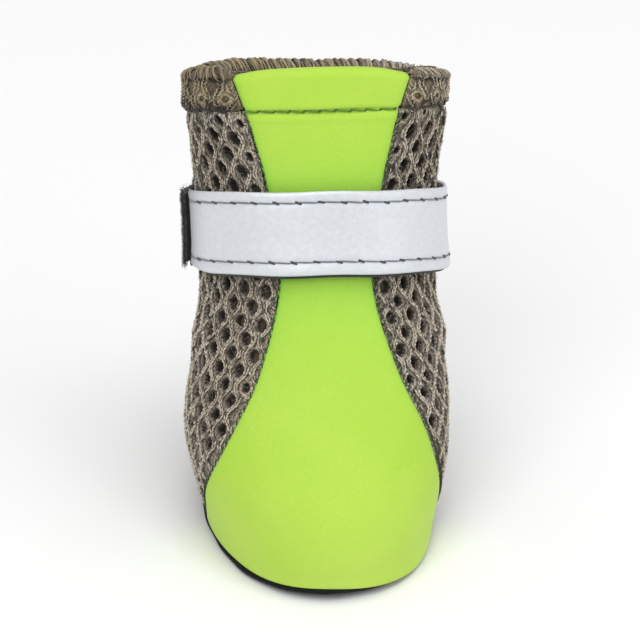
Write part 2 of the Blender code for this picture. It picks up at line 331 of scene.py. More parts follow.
def grid_faces(rows, columns, closed=False, inwards=False):
    """Faces of a grid of points, row by row. closed joins its last column to its first."""
    faces = []
    for row in range(rows - 1):
        for column in range(columns if closed else columns - 1):
            here, after = row * columns + column, row * columns + (column + 1) % columns
            faces.append((here, after, after + columns, here + columns))
    return [face[::-1] for face in faces] if inwards else faces


def thicken(piece, thickness):
    """Gives an open sheet its thickness, inwards from its outer face."""
    shell = piece.modifiers.new("Thickness", "SOLIDIFY")
    shell.thickness = thickness * MM
    shell.offset = -1


# Materials

def linear(colour):
    """A colour as a shader takes it, from the one that a screen shows."""
    return [c / 12.92 if c <= 0.04045 else ((c + 0.055) / 1.055) ** 2.4 for c in colour]


class Finish:
    """A material under construction: its shader, and short calls that add nodes to it."""

    def __init__(self, name, colour, roughness, gloss=0.5, sheen=0.0, **more):
        self.material = bpy.data.materials.new(name)
        self.material.use_nodes = True
        self.tree = self.material.node_tree
        self.shader = self.tree.nodes["Principled BSDF"].inputs
        self.feed(self.shader["Base Color"], (*linear(colour), 1.0))
        self.feed(self.shader["Roughness"], roughness)
        self.feed(self.shader["Specular IOR Level"], gloss)
        self.feed(self.shader["Sheen Weight"], sheen)
        for socket, value in more.items():
            self.feed(self.shader[socket.replace("_", " ")], value)

    def feed(self, socket, value):
        """Gives a socket another node's output, or a plain value."""
        if isinstance(value, bpy.types.NodeSocket):
            self.tree.links.new(value, socket)
        else:
            socket.default_value = value

    def node(self, kind, inputs=None, **settings):
        made = self.tree.nodes.new("ShaderNode" + kind)
        for key, value in settings.items():
            setattr(made, key, value)
        for socket, value in (inputs or {}).items():
            self.feed(made.inputs[socket], value)
        return made

    def flat(self):
        """The piece's flat pattern coordinates, in millimetres."""
        return self.node("UVMap", uv_map="flat").outputs["UV"]

    def place(self):
        """The place on the boot, in millimetres."""
        coordinates = self.node("TexCoord").outputs["Object"]
        return self.stretch(coordinates, (1000, 1000, 1000))

    def axis(self, coordinates, name):
        return self.node("SeparateXYZ", {"Vector": coordinates}).outputs[name]

    def depth(self):
        """The painted shade that the mesh holds at each point, with the yarn's random dullness: down the
        knit's holes and grooves, under and at the ends of its yarn, and on the panel by the strap and seams.
        """
        return self.node("Attribute", attribute_name="depth").outputs["Fac"]

    def stretch(self, coordinates, scale, turn=0.0):
        inputs = {"Vector": coordinates, "Scale": scale, "Rotation": (0, 0, math.radians(turn))}
        return self.node("Mapping", inputs).outputs["Vector"]

    def noise(self, coordinates, scale, detail=3.0, roughness=0.55):
        inputs = {"Vector": coordinates, "Scale": scale, "Detail": detail, "Roughness": roughness}
        return self.node("TexNoise", inputs).outputs["Fac"]

    def cells(self, coordinates, scale):
        return self.node("TexVoronoi", {"Vector": coordinates, "Scale": scale}).outputs["Distance"]

    def bands(self, coordinates, scale, distortion=0.0):
        inputs = {"Vector": coordinates, "Scale": scale, "Distortion": distortion, "Detail": 1.0}
        return self.node("TexWave", inputs).outputs["Fac"]

    def span(self, value, low, high, to_low=0.0, to_high=1.0):
        inputs = {"Value": value, "From Min": low, "From Max": high, "To Min": to_low, "To Max": to_high}
        return self.node("MapRange", inputs).outputs["Result"]

    def reckon(self, operation, first, second):
        return self.node("Math", {0: first, 1: second}, operation=operation).outputs["Value"]

    def sum(self, first, *others):
        for other in others:
            first = self.reckon("ADD", first, other)
        return first

    def product(self, first, second):
        return self.reckon("MULTIPLY", first, second)

    def blend(self, share, first, second):
        """A mix of two colours, each a screen colour or a socket."""
        first, second = (
            colour if isinstance(colour, bpy.types.NodeSocket) else (*linear(colour), 1.0)
            for colour in (first, second)
        )
        return self.node("Mix", {0: share, 6: first, 7: second}, data_type="RGBA").outputs[2]

    def colour(self, share, first, second):
        """Paints the material in a mix of two colours."""
        self.feed(self.shader["Base Color"], self.blend(share, first, second))

    def rough(self, value):
        self.feed(self.shader["Roughness"], value)

    def bump(self, height, distance, strength=1.0):
        """Relief of a height from 0 to 1, over a distance in millimetres."""
        inputs = {"Height": height, "Distance": distance * MM, "Strength": strength}
        self.feed(self.shader["Normal"], self.node("Bump", inputs).outputs["Normal"])


def scaled(colour, share):
    return [min(1.0, channel * share) for channel in colour]


# How far along the tape the painted shadow at its start reaches.
TAPE_SHADOWED = 7.0
# A change of painted shade up the flat cloth, painted light where it is below 0: from before, below start, to
# after, above end.
Shade = namedtuple("Shade", "start end before after")


def knit_colour(finish, colours, tone, warmth, shades):
    """The knit's colour: warmer and blotched in broad areas, with painted shade down its depths and in its
    shade bands, and painted light towards +X on the hem.
    """
    place = finish.place()
    aside, up = finish.axis(place, "X"), finish.axis(finish.flat(), "Y")
    # On the hem, painted light: less brown and lighter towards +X, browner and darker towards -X.
    warm_and_painted_light = finish.sum(
        finish.span(finish.noise(place, 0.09, 2.0), 0.3, 0.7, warmth, warmth + 0.3),
        finish.span(aside, -18.0, 18.0, 0.4 * warmth, -0.4 * warmth),
    )
    depth = finish.sum(
        finish.depth(),
        finish.span(finish.noise(place, 0.32, 2.0), 0.42, 0.68, 0.0, 0.35 * warmth),
        # Painted light towards +X on the hem.
        finish.span(aside, 4.0, 20.0, -0.2 * warmth, -0.3 * warmth),
        *(finish.span(up, *shade) for shade in shades),
    )
    colour = finish.blend(tone, colours.knit_shade, colours.knit_yarn)
    colour = finish.blend(warm_and_painted_light, colour, colours.knit_warm)
    finish.colour(depth, colour, colours.knit_hole_shade)


def knit_finish(colours, name, warmth, shades):
    """Spacer knit: pale fuzzy strands, darker between them, and painted shade, nearly black, down its holes
    and in the grooves between them.
    """
    finish = Finish(name, colours.knit_yarn, 0.85, 0.25, 0.25)
    flat = finish.flat()
    leaning = [finish.stretch(flat, (2.6, 1.3, 1), turn) for turn in (24, -24)]
    strands = [finish.noise(across, 1.0, 3.0, 0.6) for across in leaning]
    tone = finish.sum(*strands, finish.noise(flat, 3.2, 2.0, 0.6))
    knit_colour(finish, colours, finish.span(tone, 1.36, 1.62), warmth, shades)
    finish.bump(tone, 0.3)
    return finish.material


def yarn_finish(colours, name, warmth, shades):
    """The knit's face yarn: pale and fuzzy, with painted shade on its underside and where it dives into the
    cloth.
    """
    finish = Finish(name, colours.knit_yarn, 0.8, 0.3, 0.3)
    filaments = finish.noise(finish.stretch(finish.flat(), (6, 2.5, 1)), 1.0, 3.0, 0.6)
    knit_colour(finish, colours, finish.span(filaments, 0.30, 0.52), warmth, shades)
    finish.bump(filaments, 0.1)
    return finish.material


def jersey_finish(colours):
    """Smooth stretch jersey bonded to foam: fine ribs, a soft bloom and faint unevenness of dye, with painted
    light towards the toe and painted shade by the strap and seams.
    """
    finish = Finish("green_jersey", colours.green, 0.78, 0.3, 0.12, Sheen_Roughness=0.4)
    flat, place = finish.flat(), finish.place()
    ribs = finish.bands(finish.stretch(flat, (1, 1, 1), 90), 1.1, 0.4)
    loops = finish.cells(finish.stretch(flat, (3.4, 2.4, 1)), 1.0)
    cloud = finish.noise(place, 0.06, 3.0)
    grain = finish.noise(flat, 2.2, 3.0, 0.6)
    # Painted light: the panel is paler low on the boot, towards the toe.
    low = finish.span(finish.axis(place, "Z"), 3.0, 22.0, 0.65, 0.0)
    dye_and_painted_light = finish.sum(finish.span(cloud, 0.35, 0.7, 0.0, 0.4), low)
    shade = finish.span(finish.product(grain, loops), 0.05, 0.5, 0.0, 0.22)
    colour = finish.blend(dye_and_painted_light, colours.green, colours.green_pale_and_lit)
    colour = finish.blend(shade, colour, colours.green_shade)
    # Painted shade by the strap and along the seams.
    finish.colour(finish.depth(), colour, colours.green_painted_shade)
    finish.bump(finish.sum(finish.product(ribs, 0.35), loops), 0.05, 0.8)
    return finish.material


def tape_finish(colours):
    """Glass-bead reflective tape: silvery grey, with a fine mottle, a satin face and a mottled painted shadow
    at its start.
    """
    finish = Finish("silver_tape", colours.tape, 0.42, Metallic=0.25, Coat_Weight=0.12)
    flat = finish.flat()
    mottle = finish.noise(flat, 0.9, 5.0, 0.7)
    weave = finish.cells(flat, 4.0)
    start = TAPE_START * HEM_GIRTH
    # Painted shadow over the tape's first millimetres, broken up by noise.
    end = finish.span(finish.axis(flat, "X"), start, start + TAPE_SHADOWED, 1.0, 0.0)
    shadow_mottle = finish.span(finish.noise(flat, 1.6, 4.0, 0.7), 0.25, 0.75, 0.55, 1.0)
    end_shadow = finish.product(finish.reckon("POWER", end, 2.2), shadow_mottle)
    colour = finish.blend(finish.span(mottle, 0.3, 0.72), colours.tape_shade, colours.tape)
    finish.colour(end_shadow, colour, colours.tape_shadow)
    finish.rough(finish.span(mottle, 0.3, 0.7, 0.36, 0.55))
    finish.bump(finish.sum(finish.product(mottle, 0.7), weave), 0.04, 0.7)
    return finish.material


def webbing_finish(colours):
    """Black woven webbing."""
    finish = Finish("black_webbing", colours.black, 0.8, 0.3, 0.3)
    flat = finish.flat()
    warp, weft = (finish.bands(run, 1.6, 0.3) for run in (flat, finish.stretch(flat, (1, 1, 1), 90)))
    weave = finish.product(warp, weft)
    finish.colour(finish.span(weave, 0.0, 0.8), colours.black, colours.black_light)
    finish.bump(weave, 0.12)
    return finish.material


def pile_finish(colours):
    """Brushed loops of a hook-and-loop closing."""
    finish = Finish("loop_pile", colours.black, 0.95, 0.2, 0.3)
    flat = finish.flat()
    fuzz = finish.noise(flat, 3.0, 5.0, 0.75)
    finish.colour(finish.span(fuzz, 0.4, 0.75), colours.black, colours.black_light)
    finish.bump(finish.sum(fuzz, finish.cells(flat, 2.2)), 0.25)
    return finish.material


def rubber_finish(colours):
    """Black sole rubber with a fine matt grain and a little dust on its edge."""
    finish = Finish("sole_rubber", colours.rubber, 0.62, 0.25)
    place = finish.place()
    grain = finish.noise(place, 3.5, 4.0, 0.6)
    dust = finish.span(finish.noise(place, 0.25, 3.0), 0.5, 0.8, 0.0, 0.4)
    finish.colour(dust, colours.rubber, colours.rubber_worn)
    finish.rough(finish.span(grain, 0.3, 0.7, 0.55, 0.75))
    finish.bump(grain, 0.06)
    return finish.material


def felt_finish(colours):
    """Dark felted insole cloth."""
    finish = Finish("insole_felt", colours.felt, 0.95, 0.2, 0.4)
    fibres = finish.noise(finish.stretch(finish.place(), (1, 2.5, 1), 30), 2.0, 5.0, 0.7)
    finish.colour(finish.span(fibres, 0.3, 0.75), colours.felt, scaled(colours.felt, 1.9))
    finish.bump(fibres, 0.18)
    return finish.material


def lining_finish(colours):
    """The knit's closed inner face."""
    finish = Finish("knit_lining", colours.lining, 0.9, 0.2, 0.3)
    flat = finish.flat()
    loops = finish.cells(finish.stretch(flat, (1.6, 1.2, 1)), 1.0)
    tone = finish.span(finish.product(loops, finish.noise(flat, 2.5, 4.0, 0.65)), 0.05, 0.4)
    finish.colour(tone, scaled(colours.lining, 0.55), scaled(colours.lining, 1.35))
    finish.bump(tone, 0.15)
    return finish.material


def thread_finish(name, colour):
    """Twisted sewing thread."""
    finish = Finish(name, colour, 0.6, 0.35, 0.2)
    twist = finish.bands(finish.stretch(finish.place(), (1, 1, 1), 40), 2.6, 0.5)
    finish.colour(finish.span(twist, 0.0, 1.0), colour, scaled(colour, 1.7))
    finish.bump(twist, 0.06)
    return finish.material


# Knit

# Rings of points round a hole, from its lip inwards. reach is a share of the hole's radius, level is measured
# from the last, and depth is how much painted shade the yarn has there, from 0 to 1.
Ring = namedtuple("Ring", "reach level depth")
BODY_RINGS = (
    Ring(1.36, -0.36, 0.58),
    Ring(1.20, -0.28, 0.48),
    Ring(1.06, -0.38, 0.6),
    Ring(1.00, -0.66, 0.8),
    Ring(0.95, -1.25, 0.97),
    Ring(0.92, -2.15, 1.0),
)
HEM_RINGS = (
    Ring(1.36, -0.26, 0.3),
    Ring(1.20, -0.24, 0.25),
    Ring(1.06, -0.32, 0.35),
    Ring(0.98, -0.46, 0.5),
    Ring(0.92, -0.75, 0.7),
)
RING_POINTS = 18
# How many points a sheet's outline has along each end.
ENDS_POINTS = 90
# Levels of the grooves between holes, the pits where three meet and the sheet's outer edge, and the painted
# shade of the grooves and pits and of the edge.
GROOVE = -0.50
PIT = -0.58
GROOVE_SHADE = 0.72
EDGE = -0.05
EDGE_SHADE = 0.1
# A hole's radius is at most this share of the way to its neighbour. Its lip stays clear of the sheet's edge,
# and it isn't opened where it would be smaller than the least.
HOLE_SHARE = 0.342
HOLE_CLEAR = 0.35
HOLE_LEAST = 0.4
HOLE_JITTER = 0.08

# How fast the knit's rows climb from the centre back towards the seams, per millimetre, the rise at which its
# columns keep their pitch, and the cloth's top.
KNIT_BEND = 0.0042
KNIT_MIDDLE = 40.0
KNIT_TOP = 90.0
# How much wider the lattice is than the cloth, because bending narrows it.
KNIT_SPARE = 1.3

# The knit's face yarn. Columns of stitches, two to a hole's pitch, sway round the holes. In millimetres, arch
# is how far a stitch stands up, sway how far its column swings aside, and half its half width.
Wale = namedtuple("Wale", "arch sway half")
BODY_WALE = Wale(0.12, 0.72, 0.33)
HEM_WALE = Wale(0.0, 0.5, 0.55)
STITCHES_PER_ROW = 4
STITCH_SINK = -0.30
YARN_RADIUS = 0.18
YARN_SIDES = 4
YARN_RINGS = 5

# Loose hairs, in millimetres, and how many of those that are tried the knit keeps.
Hair = namedtuple("Hair", "length rise radius")
KNIT_HAIR = Hair(1.3, 0.42, 0.028)
LOOP_HAIR = Hair(1.0, 0.55, 0.05)
KNIT_HAIRS_TRIED = 9000
KNIT_HAIRS = 4200
LOOP_HAIRS = 4600


class Cloth:
    """The knit laid flat: u is measured from the centre back, and v up from the sole, both in millimetres."""

    STEP_U = 1.0
    STEP_V = 0.25
    REACH = 62.0
    RISE = 100.0

    def __init__(self):
        self.u = np.arange(-self.REACH, self.REACH + self.STEP_U / 2, self.STEP_U)
        heights = LAST.heights[:, None]
        girths = LAST.girths[:, None]
        points, _, _ = LAST.read(heights + 0 * self.u, (self.u + girths / 2) / girths)
        self.v = distances(points)
        rises = np.arange(0.0, self.RISE, self.STEP_V)
        self.rows = np.stack([np.interp(rises, column, LAST.heights) for column in self.v.T], axis=1)

    def height(self, u, v):
        """The height in rows at a place on the flat cloth."""
        row = np.clip(v / self.STEP_V, 0, len(self.rows) - 1.001)
        column = np.clip((u - self.u[0]) / self.STEP_U, 0, len(self.u) - 1.001)
        return between(self.rows, row, column)

    def rise(self, u, height):
        """How far up the flat cloth a height lies, at a distance from the centre back."""
        row = height / RIM_ROW * (GRID_HEIGHTS - 1)
        low = min(int(row), GRID_HEIGHTS - 2)
        mixed = self.v[low] * (1 - row + low) + self.v[low + 1] * (row - low)
        return np.interp(u, self.u, mixed)

    def half_width(self, height):
        """Half the cloth's width, up to the seam with the front panel."""
        return LAST.girth(height) / 2 - LAST.panel(height) - GAP


class Lattice:
    """The knit's pattern of holes, in even rows that climb away from the middle by its bend."""

    def __init__(self, sizes, bend):
        self.pitch, self.rise = sizes.hole_pitch / MM, sizes.hole_rise / MM
        self.width = sizes.hole_width / MM
        self.bend = bend

    def laid(self, across, up):
        """The place on the flat cloth of a place in the even pattern."""
        u, v = across, up
        for _ in range(8):
            v = up + self.bend * u * u
            u = across / (1 + self.bend * (np.clip(v, 0.0, KNIT_TOP) - KNIT_MIDDLE))
        return u, v

    def columns(self, low, high, step):
        """The numbers of the columns that cover a box of flat cloth, a step apart."""
        return range(math.floor(KNIT_SPARE * low[0] / step) - 1, math.ceil(KNIT_SPARE * high[0] / step) + 2)

    def rows(self, low, high, step):
        """The numbers of the rows that cover a box of flat cloth, a step apart."""
        sink = self.bend * max(abs(low[0]), abs(high[0])) ** 2
        return range(math.floor((low[1] - sink) / step) - 1, math.ceil(high[1] / step) + 2)

    def holes(self, low, high, rng):
        """Each hole's centre, radius and turn by its column and row, slightly uneven, over a box."""
        centres = {}
        for row in self.rows(low, high, self.rise):
            for column in self.columns(low, high, self.pitch):
                u, v = self.laid((column + 0.5 * (row % 2)) * self.pitch, row * self.rise)
                centres[column, row] = (u + rng.normal(0, HOLE_JITTER), v + rng.normal(0, HOLE_JITTER))
        holes = {}
        for at, (u, v) in centres.items():
            near = [math.hypot(u - centres[k][0], v - centres[k][1]) for k in neighbours(*at) if k in centres]
            size = min([self.width / 2, *(HOLE_SHARE * gap for gap in near)])
            holes[at] = (u, v, size * (1 + min(0.02, rng.normal(0, 0.03))), rng.uniform(0, math.tau))
        return holes


def hole_shape(hole, reach):
    """Points round a hole at a share of its radius: taller than wide, and faintly six-sided."""
    u, v, size, turn = hole
    angles = np.arange(RING_POINTS) * math.tau / RING_POINTS
    radius = size * reach * (1 + 0.035 * np.cos(6 * angles) + 0.03 * np.cos(2 * angles + turn))
    return np.stack((u + radius * np.cos(angles), v + 1.04 * radius * np.sin(angles)), axis=1)


def even_centre(places):
    """The point at one distance from two or three places."""
    if len(places) == 2:
        return np.mean(places, axis=0)
    (ax, ay), (bx, by), (cx, cy) = places
    sides = np.array(((bx - ax, by - ay), (cx - ax, cy - ay)))
    squares = np.array(((bx**2 - ax**2 + by**2 - ay**2) / 2, (cx**2 - ax**2 + cy**2 - ay**2) / 2))
    return np.linalg.solve(sides, squares)


def neighbours(column, row):
    """The lattice places to the right, up and right, and up and left of a hole."""
    shift = row % 2
    return (column + 1, row), (column + shift, row + 1), (column - 1 + shift, row + 1)


class FlatNet:
    """Points on a flat sheet, each with its level and its depth of painted shade, and the edges that join
    them.
    """

    def __init__(self):
        self.points, self.levels, self.depths, self.edges = [], [], [], []

    def add(self, points, level, depth):
        """Adds points and returns their numbers."""
        first = len(self.points)
        self.points += np.asarray(points, float).reshape(-1, 2).tolist()
        count = len(self.points) - first
        self.levels += [level] * count
        self.depths += [depth] * count
        return list(range(first, first + count))

    def add_loop(self, points, level, depth):
        """Adds points that are joined round in a loop."""
        loop = self.add(points, level, depth)
        self.edges.extend(zip(loop, loop[1:] + loop[:1]))
        return loop

    def add_grooves(self, holes, inside):
        """Adds a groove between every two neighbouring holes, deepest where three holes meet."""
        middles = {}

        def middle(level, *places):
            """The point in the middle of two or three holes, if there is room for it."""
            key = tuple(sorted(places))
            if key not in middles:
                centre = even_centre([holes[at][:2] for at in places])
                clear = inside(centre[None])[0] > 0.5
                middles[key] = self.add(centre, level, GROOVE_SHADE)[0] if clear else None
            return middles[key]

        for at in holes:
            right, up_right, up_left = neighbours(*at)
            if not {right, up_right, up_left} <= holes.keys():
                continue
            left = (at[0] - 1, at[1])
            below_right = (right[0] - (right[1] - 1) % 2, right[1] - 1)
            above = middle(PIT, at, right, up_right)
            beside = middle(PIT, at, up_right, up_left)
            below = middle(PIT, at, right, below_right) if below_right in holes else None
            above_left = middle(PIT, at, left, up_left) if left in holes else None
            for other, ends in (
                (right, (above, below)),
                (up_right, (above, beside)),
                (up_left, (beside, above_left)),
            ):
                centre = middle(GROOVE, at, other)
                for end in ends:
                    if centre is None or end is None:
                        continue
                    place = np.mean((self.points[centre], self.points[end]), axis=0)
                    halfway = self.add(place, (GROOVE + PIT) / 2, GROOVE_SHADE)[0]
                    self.edges.extend(((centre, halfway), (halfway, end)))

    def filled(self, loops, inside):
        """The net as triangles on the sheet, outside the loops: corners, levels, depths, faces and numbers.

        The numbers say which corner each of the net's own points became.
        """
        made = delaunay_2d_cdt([Vector(point) for point in self.points], self.edges, [], 0, 1e-5)
        corners, _, triangles, origins, *_ = made
        points, triangles = np.array([tuple(corner) for corner in corners]), np.array(triangles)
        source = np.array([origin[0] if origin else -1 for origin in origins])
        own = source >= 0
        level = np.where(own, np.array(self.levels)[source], GROOVE)
        depth = np.where(own, np.array(self.depths)[source], GROOVE_SHADE)
        owner = np.full(len(self.points), -1)
        for index, loop in enumerate(loops):
            owner[loop] = index
        owners = np.where(own, owner[source], -1)[triangles]
        in_loop = (owners[:, 0] >= 0) & (owners == owners[:, :1]).all(axis=1)
        on_sheet = inside(points[triangles].mean(axis=1)) > 0
        numbers = {int(number): corner for corner, number in enumerate(source) if number >= 0}
        return points, level, depth, triangles[on_sheet & ~in_loop].tolist(), numbers


def perforated(name, holes, inside, outline, place, rings, material, replaces=()):
    """A sheet of honeycomb knit with a lip and a wall round every hole, and a groove between neighbours.

    holes maps lattice places to holes, inside says how far in from its edge flat points lie on the sheet, and
    place lifts flat points to the boot.
    """
    lip, *walls = rings
    rooms = inside(np.array([hole[:2] for hole in holes.values()]))
    opened = []
    for (u, v, size, turn), room in zip(holes.values(), rooms):
        size = min(size, (room - HOLE_CLEAR) / lip.reach)
        if size > HOLE_LEAST:
            opened.append((u, v, size, turn))
    net = FlatNet()
    net.add_loop(outline, EDGE, EDGE_SHADE)
    lips = [net.add_loop(hole_shape(hole, lip.reach), lip.level, 0.0) for hole in opened]
    net.add_grooves(holes, inside)
    points, level, depth, faces, numbers = net.filled(lips, inside)

    points, level, depth = list(points), list(level), list(depth)
    for hole, loop in zip(opened, lips):
        outer = [numbers[k] for k in loop]
        for ring in walls:
            inner = list(range(len(points), len(points) + RING_POINTS))
            points.extend(hole_shape(hole, ring.reach))
            level.extend([ring.level] * RING_POINTS)
            depth.extend([ring.depth] * RING_POINTS)
            faces.extend(zip(outer, outer[1:] + outer[:1], inner[1:] + inner[:1], inner))
            outer = inner
    points = np.array(points)
    solid = place(points[:, 0], points[:, 1], np.array(level))
    return mesh_piece(name, solid, faces, material, replaces, points, depth)


def sheet_outline(halves, right, left, top):
    """A flat sheet's outline, from half its width at rising heights, the sides' rises and the top's rise."""
    low = np.linspace(-halves[0], halves[0], ENDS_POINTS)
    high = np.linspace(halves[-1], -halves[-1], ENDS_POINTS)
    return np.concatenate((
        np.stack((low, 0 * low), axis=1),
        np.stack((halves, right), axis=1)[1:],
        np.stack((high, top(high)), axis=1)[1:],
        np.stack((-halves, left), axis=1)[::-1][1:-1],
    ))


def make_wales(name, box, lattice, wale, inside, place, material, seed):
    """Columns of V-shaped yarn stitches over a sheet of knit, which sway round its holes."""
    rng = np.random.default_rng(seed)
    step = lattice.rise / STITCHES_PER_ROW
    numbers = np.meshgrid(lattice.columns(*box, lattice.pitch / 2), lattice.rows(*box, step))
    column, count = (number.ravel() for number in numbers)
    across, up = (column + 0.5) * lattice.pitch / 2, count * step
    u, v = lattice.laid(across, up + 0.5 * step)
    kept = inside(np.stack((u, v), axis=1)) > 0.25
    column, across, up = (values[kept][:, None, None] for values in (column, across, up))
    size = rng.normal(1.0, 0.10, column.shape)
    tilt = rng.normal(0.0, 0.07, column.shape)
    raised = rng.normal(0.0, 0.04, column.shape)
    dull_and_shade = np.clip(rng.normal(0.05, 0.4, (len(column), 2, 1)), 0, 0.85)
    along = np.linspace(0, 1, YARN_RINGS)[None, None]
    side = np.array((-1.0, 1.0))[None, :, None]
    spread = side * wale.half * size * (0.12 + 0.88 * np.sin(along * math.pi * 0.62)) + tilt * along
    rows = up + step * (-0.22 + 1.44 * along) + 0 * side
    aside = wale.sway * np.cos(math.pi * rows / lattice.rise) * (-1.0) ** column
    u, v = lattice.laid(across + aside + spread, rows)
    bow = np.sin(along * math.pi) + 0 * rows
    level = STITCH_SINK + (wale.arch - STITCH_SINK) * bow**0.7 + raised
    centre = np.stack((u, v, level), axis=-1).reshape(-1, YARN_RINGS, 3)
    thick = (YARN_RADIUS * size * (0.6 + 0.4 * bow)).reshape(-1, YARN_RINGS)
    # Painted shade where a stitch dives into the cloth, added to its random dullness.
    dull_and_shade = (dull_and_shade + 0.4 * (1 - bow)).reshape(-1, YARN_RINGS)
    return yarn_tubes(name, centre, thick, dull_and_shade, place, material)


def yarn_tubes(name, centre, thick, dull_and_shade, place, material, sides=YARN_SIDES):
    """Closed tubes along flat paths of as many points each: centre holds every point's u, v and level."""
    paths, rings = thick.shape
    ahead = unit(np.gradient(centre, axis=1))
    beside = unit(np.cross(ahead, (0.0, 0.0, 1.0)))
    above = np.cross(beside, ahead)
    turn = np.arange(sides) * math.tau / sides + math.pi / 2
    around = np.cos(turn)[:, None] * beside[:, :, None] + np.sin(turn)[:, None] * above[:, :, None]
    flat = (centre[:, :, None] + thick[..., None, None] * around).reshape(-1, 3)
    # Painted shade on the underside of every tube.
    depth = (dull_and_shade[..., None] + 0.22 * (1 - np.sin(turn))).ravel()
    starts = np.arange(paths)[:, None, None] * rings * sides
    walls = (starts + np.array(grid_faces(rings, sides, closed=True))).reshape(-1, 4)
    ends = np.stack((np.arange(sides)[::-1], (rings - 1) * sides + np.arange(sides)))
    caps = (starts + ends).reshape(-1, sides)
    faces = walls.tolist() + caps.tolist()
    return mesh_piece(name, place(*flat.T), faces, material, (), flat[:, :2], np.clip(depth, 0, 1))


def make_hairs(name, starts, hair, place, material, seed):
    """Loose hairs that start at flat points, bend over and lie at random."""
    rng = np.random.default_rng(seed)
    each = (len(starts), 1)
    along = np.linspace(0, 1, 4)[None]
    heading = rng.uniform(0, math.tau, each) + rng.normal(0, 0.9, each) * along
    run = hair.length * rng.uniform(0.6, 1.4, each) * along
    lift = hair.rise * rng.uniform(0.4, 1.5, each) * np.sin(along * rng.uniform(1.2, 2.9, each))
    centre = np.stack((
        starts[:, :1] + run * np.cos(heading),
        starts[:, 1:] + run * np.sin(heading),
        lift - 0.1,
    ), axis=-1)
    thick = hair.radius * (1 - 0.6 * along) + 0 * heading
    dull_and_shade = rng.uniform(0, 0.5, each) + 0 * along
    return yarn_tubes(name, centre, thick, dull_and_shade, place, material, 3)


def edge_dip(room, run=3.0, dip=0.5):
    """How far cloth sinks towards a seam, at a distance from it."""
    return -dip * (1 - smooth(room / run)) - 0.6 * (1 - smooth(room / 0.5))


def uneven(points, pitch, height, seed):
    """A slow random rise and fall over flat points, of about the given height."""
    rng = np.random.default_rng(seed)
    lift = np.zeros(points.shape[:-1])
    for _ in range(5):
        angle, phase = rng.uniform(0, math.tau, 2)
        wave = pitch * rng.uniform(0.7, 1.6)
        run = points[..., 0] * math.cos(angle) + points[..., 1] * math.sin(angle)
        lift += np.sin(run * math.tau / wave + phase)
    return lift * height / 2.5


def make_knit_body(sizes, material, yarn):
    """The knit body from the sole to the hem's stitch line, and the yarn on its face."""
    cloth = Cloth()
    top = STITCH_ROW - 0.02

    def rooms(u, v):
        """How far flat places lie from the cloth's sides, and from its two ends."""
        sides = cloth.half_width(cloth.height(u, v)) - np.abs(u)
        return sides, np.minimum(v, cloth.rise(u, top) - v)

    def inside(points):
        return np.minimum(*rooms(*points.T))

    def place(u, v, level):
        height = cloth.height(u, v)
        sides, ends = rooms(u, v)
        fade = smooth((np.minimum(sides, ends) - 0.4) / 2.2)
        low = edge_dip(np.maximum(sides, 0)) + edge_dip(np.maximum(ends, 0), 1.6, 0.25)
        flat = np.stack((u, v), axis=1)
        lift = level * (0.35 + 0.65 * fade) + low + uneven(flat, 26, 0.22, 3) + uneven(flat, 7, 0.05, 4)
        return LAST.at(height, u + LAST.girth(height) / 2, lift)

    heights = np.linspace(0, top, 110)
    halves = cloth.half_width(heights)
    right, left = (
        np.array([cloth.rise(side * half, height) for half, height in zip(halves, heights)])
        for side in (1, -1)
    )
    outline = sheet_outline(halves, right, left, lambda u: cloth.rise(u, top))
    box = outline.min(0), outline.max(0)
    rng = np.random.default_rng(11)
    lattice = Lattice(sizes, KNIT_BEND)
    holes = lattice.holes(*box, rng)
    perforated("knit_body", holes, inside, outline, place, BODY_RINGS, material, ("upper",))
    for name, side in (("knit_yarn_left", -1), ("knit_yarn_right", 1)):
        def on_side(points, side=side):
            return np.where(side * points[:, 0] > 0, inside(points), -1.0)

        make_wales(name, box, lattice, BODY_WALE, on_side, place, yarn, 31 + side)
    starts = rng.uniform(*box, (KNIT_HAIRS_TRIED, 2))
    starts = starts[inside(starts) > 1.5][:KNIT_HAIRS]
    make_hairs("knit_hairs", starts, KNIT_HAIR, place, yarn, 51)


# Hem

HEM_GIRTH = float(LAST.girth(STITCH_ROW))
HEM_RISE = float(np.linalg.norm(LAST.at(RIM_ROW, 0.0) - LAST.at(STITCH_ROW, 0.0)))
# How far the hem of the knit and of the panel stands out, and proud above the rim, where its inner leg lies,
# how deep that hangs, how far the rim sags at the sides, and how far the stitches draw the hem in.
HEM_OUT = 0.35
HEM_PANEL_OUT = 0.25
HEM_PROUD = 1.0
HEM_PANEL_PROUD = -0.1
HEM_IN = -3.0
HEM_DEEP = 7.0
HEM_SAG = 1.8
STITCH_DIP = 0.35
# Where round the girth the rim waves up or down, how widely, and by how many millimetres.
RimWave = namedtuple("RimWave", "share wide rise")
RIM_WAVES = (
    RimWave(-0.385, 0.065, 0.6),
    RimWave(-0.135, 0.03, -0.8),
    RimWave(0.135, 0.03, -0.35),
    RimWave(0.5, 0.09, -0.3),
)
# The yarn wound over the rim: how far down it reaches, the width of a turn, its slant, its strands and the
# half width that they take of a turn, its arch, and each strand's points.
RIM_WOUND = 2.9
RIM_TURN = 1.5
RIM_LEAN = 1.2
RIM_STRANDS = 6
RIM_SPREAD = 0.34
RIM_ARCH = 0.24
RIM_POINTS = 15
# The layer that shows down the hem's holes. It lies deep, and rises under the rim's yarn.
CORE_LEVEL = -0.92
CORE_RISE = 0.7
CORE_THICK = 0.5
CORE_INSET = 0.3
# The lining starts where the walls of the body's holes end.
LINING_LEVEL = BODY_RINGS[-1].level


def hem_row(along):
    """The height in rows at a distance up from the stitch line."""
    return np.minimum(STITCH_ROW + along / HEM_RISE, RIM_ROW)


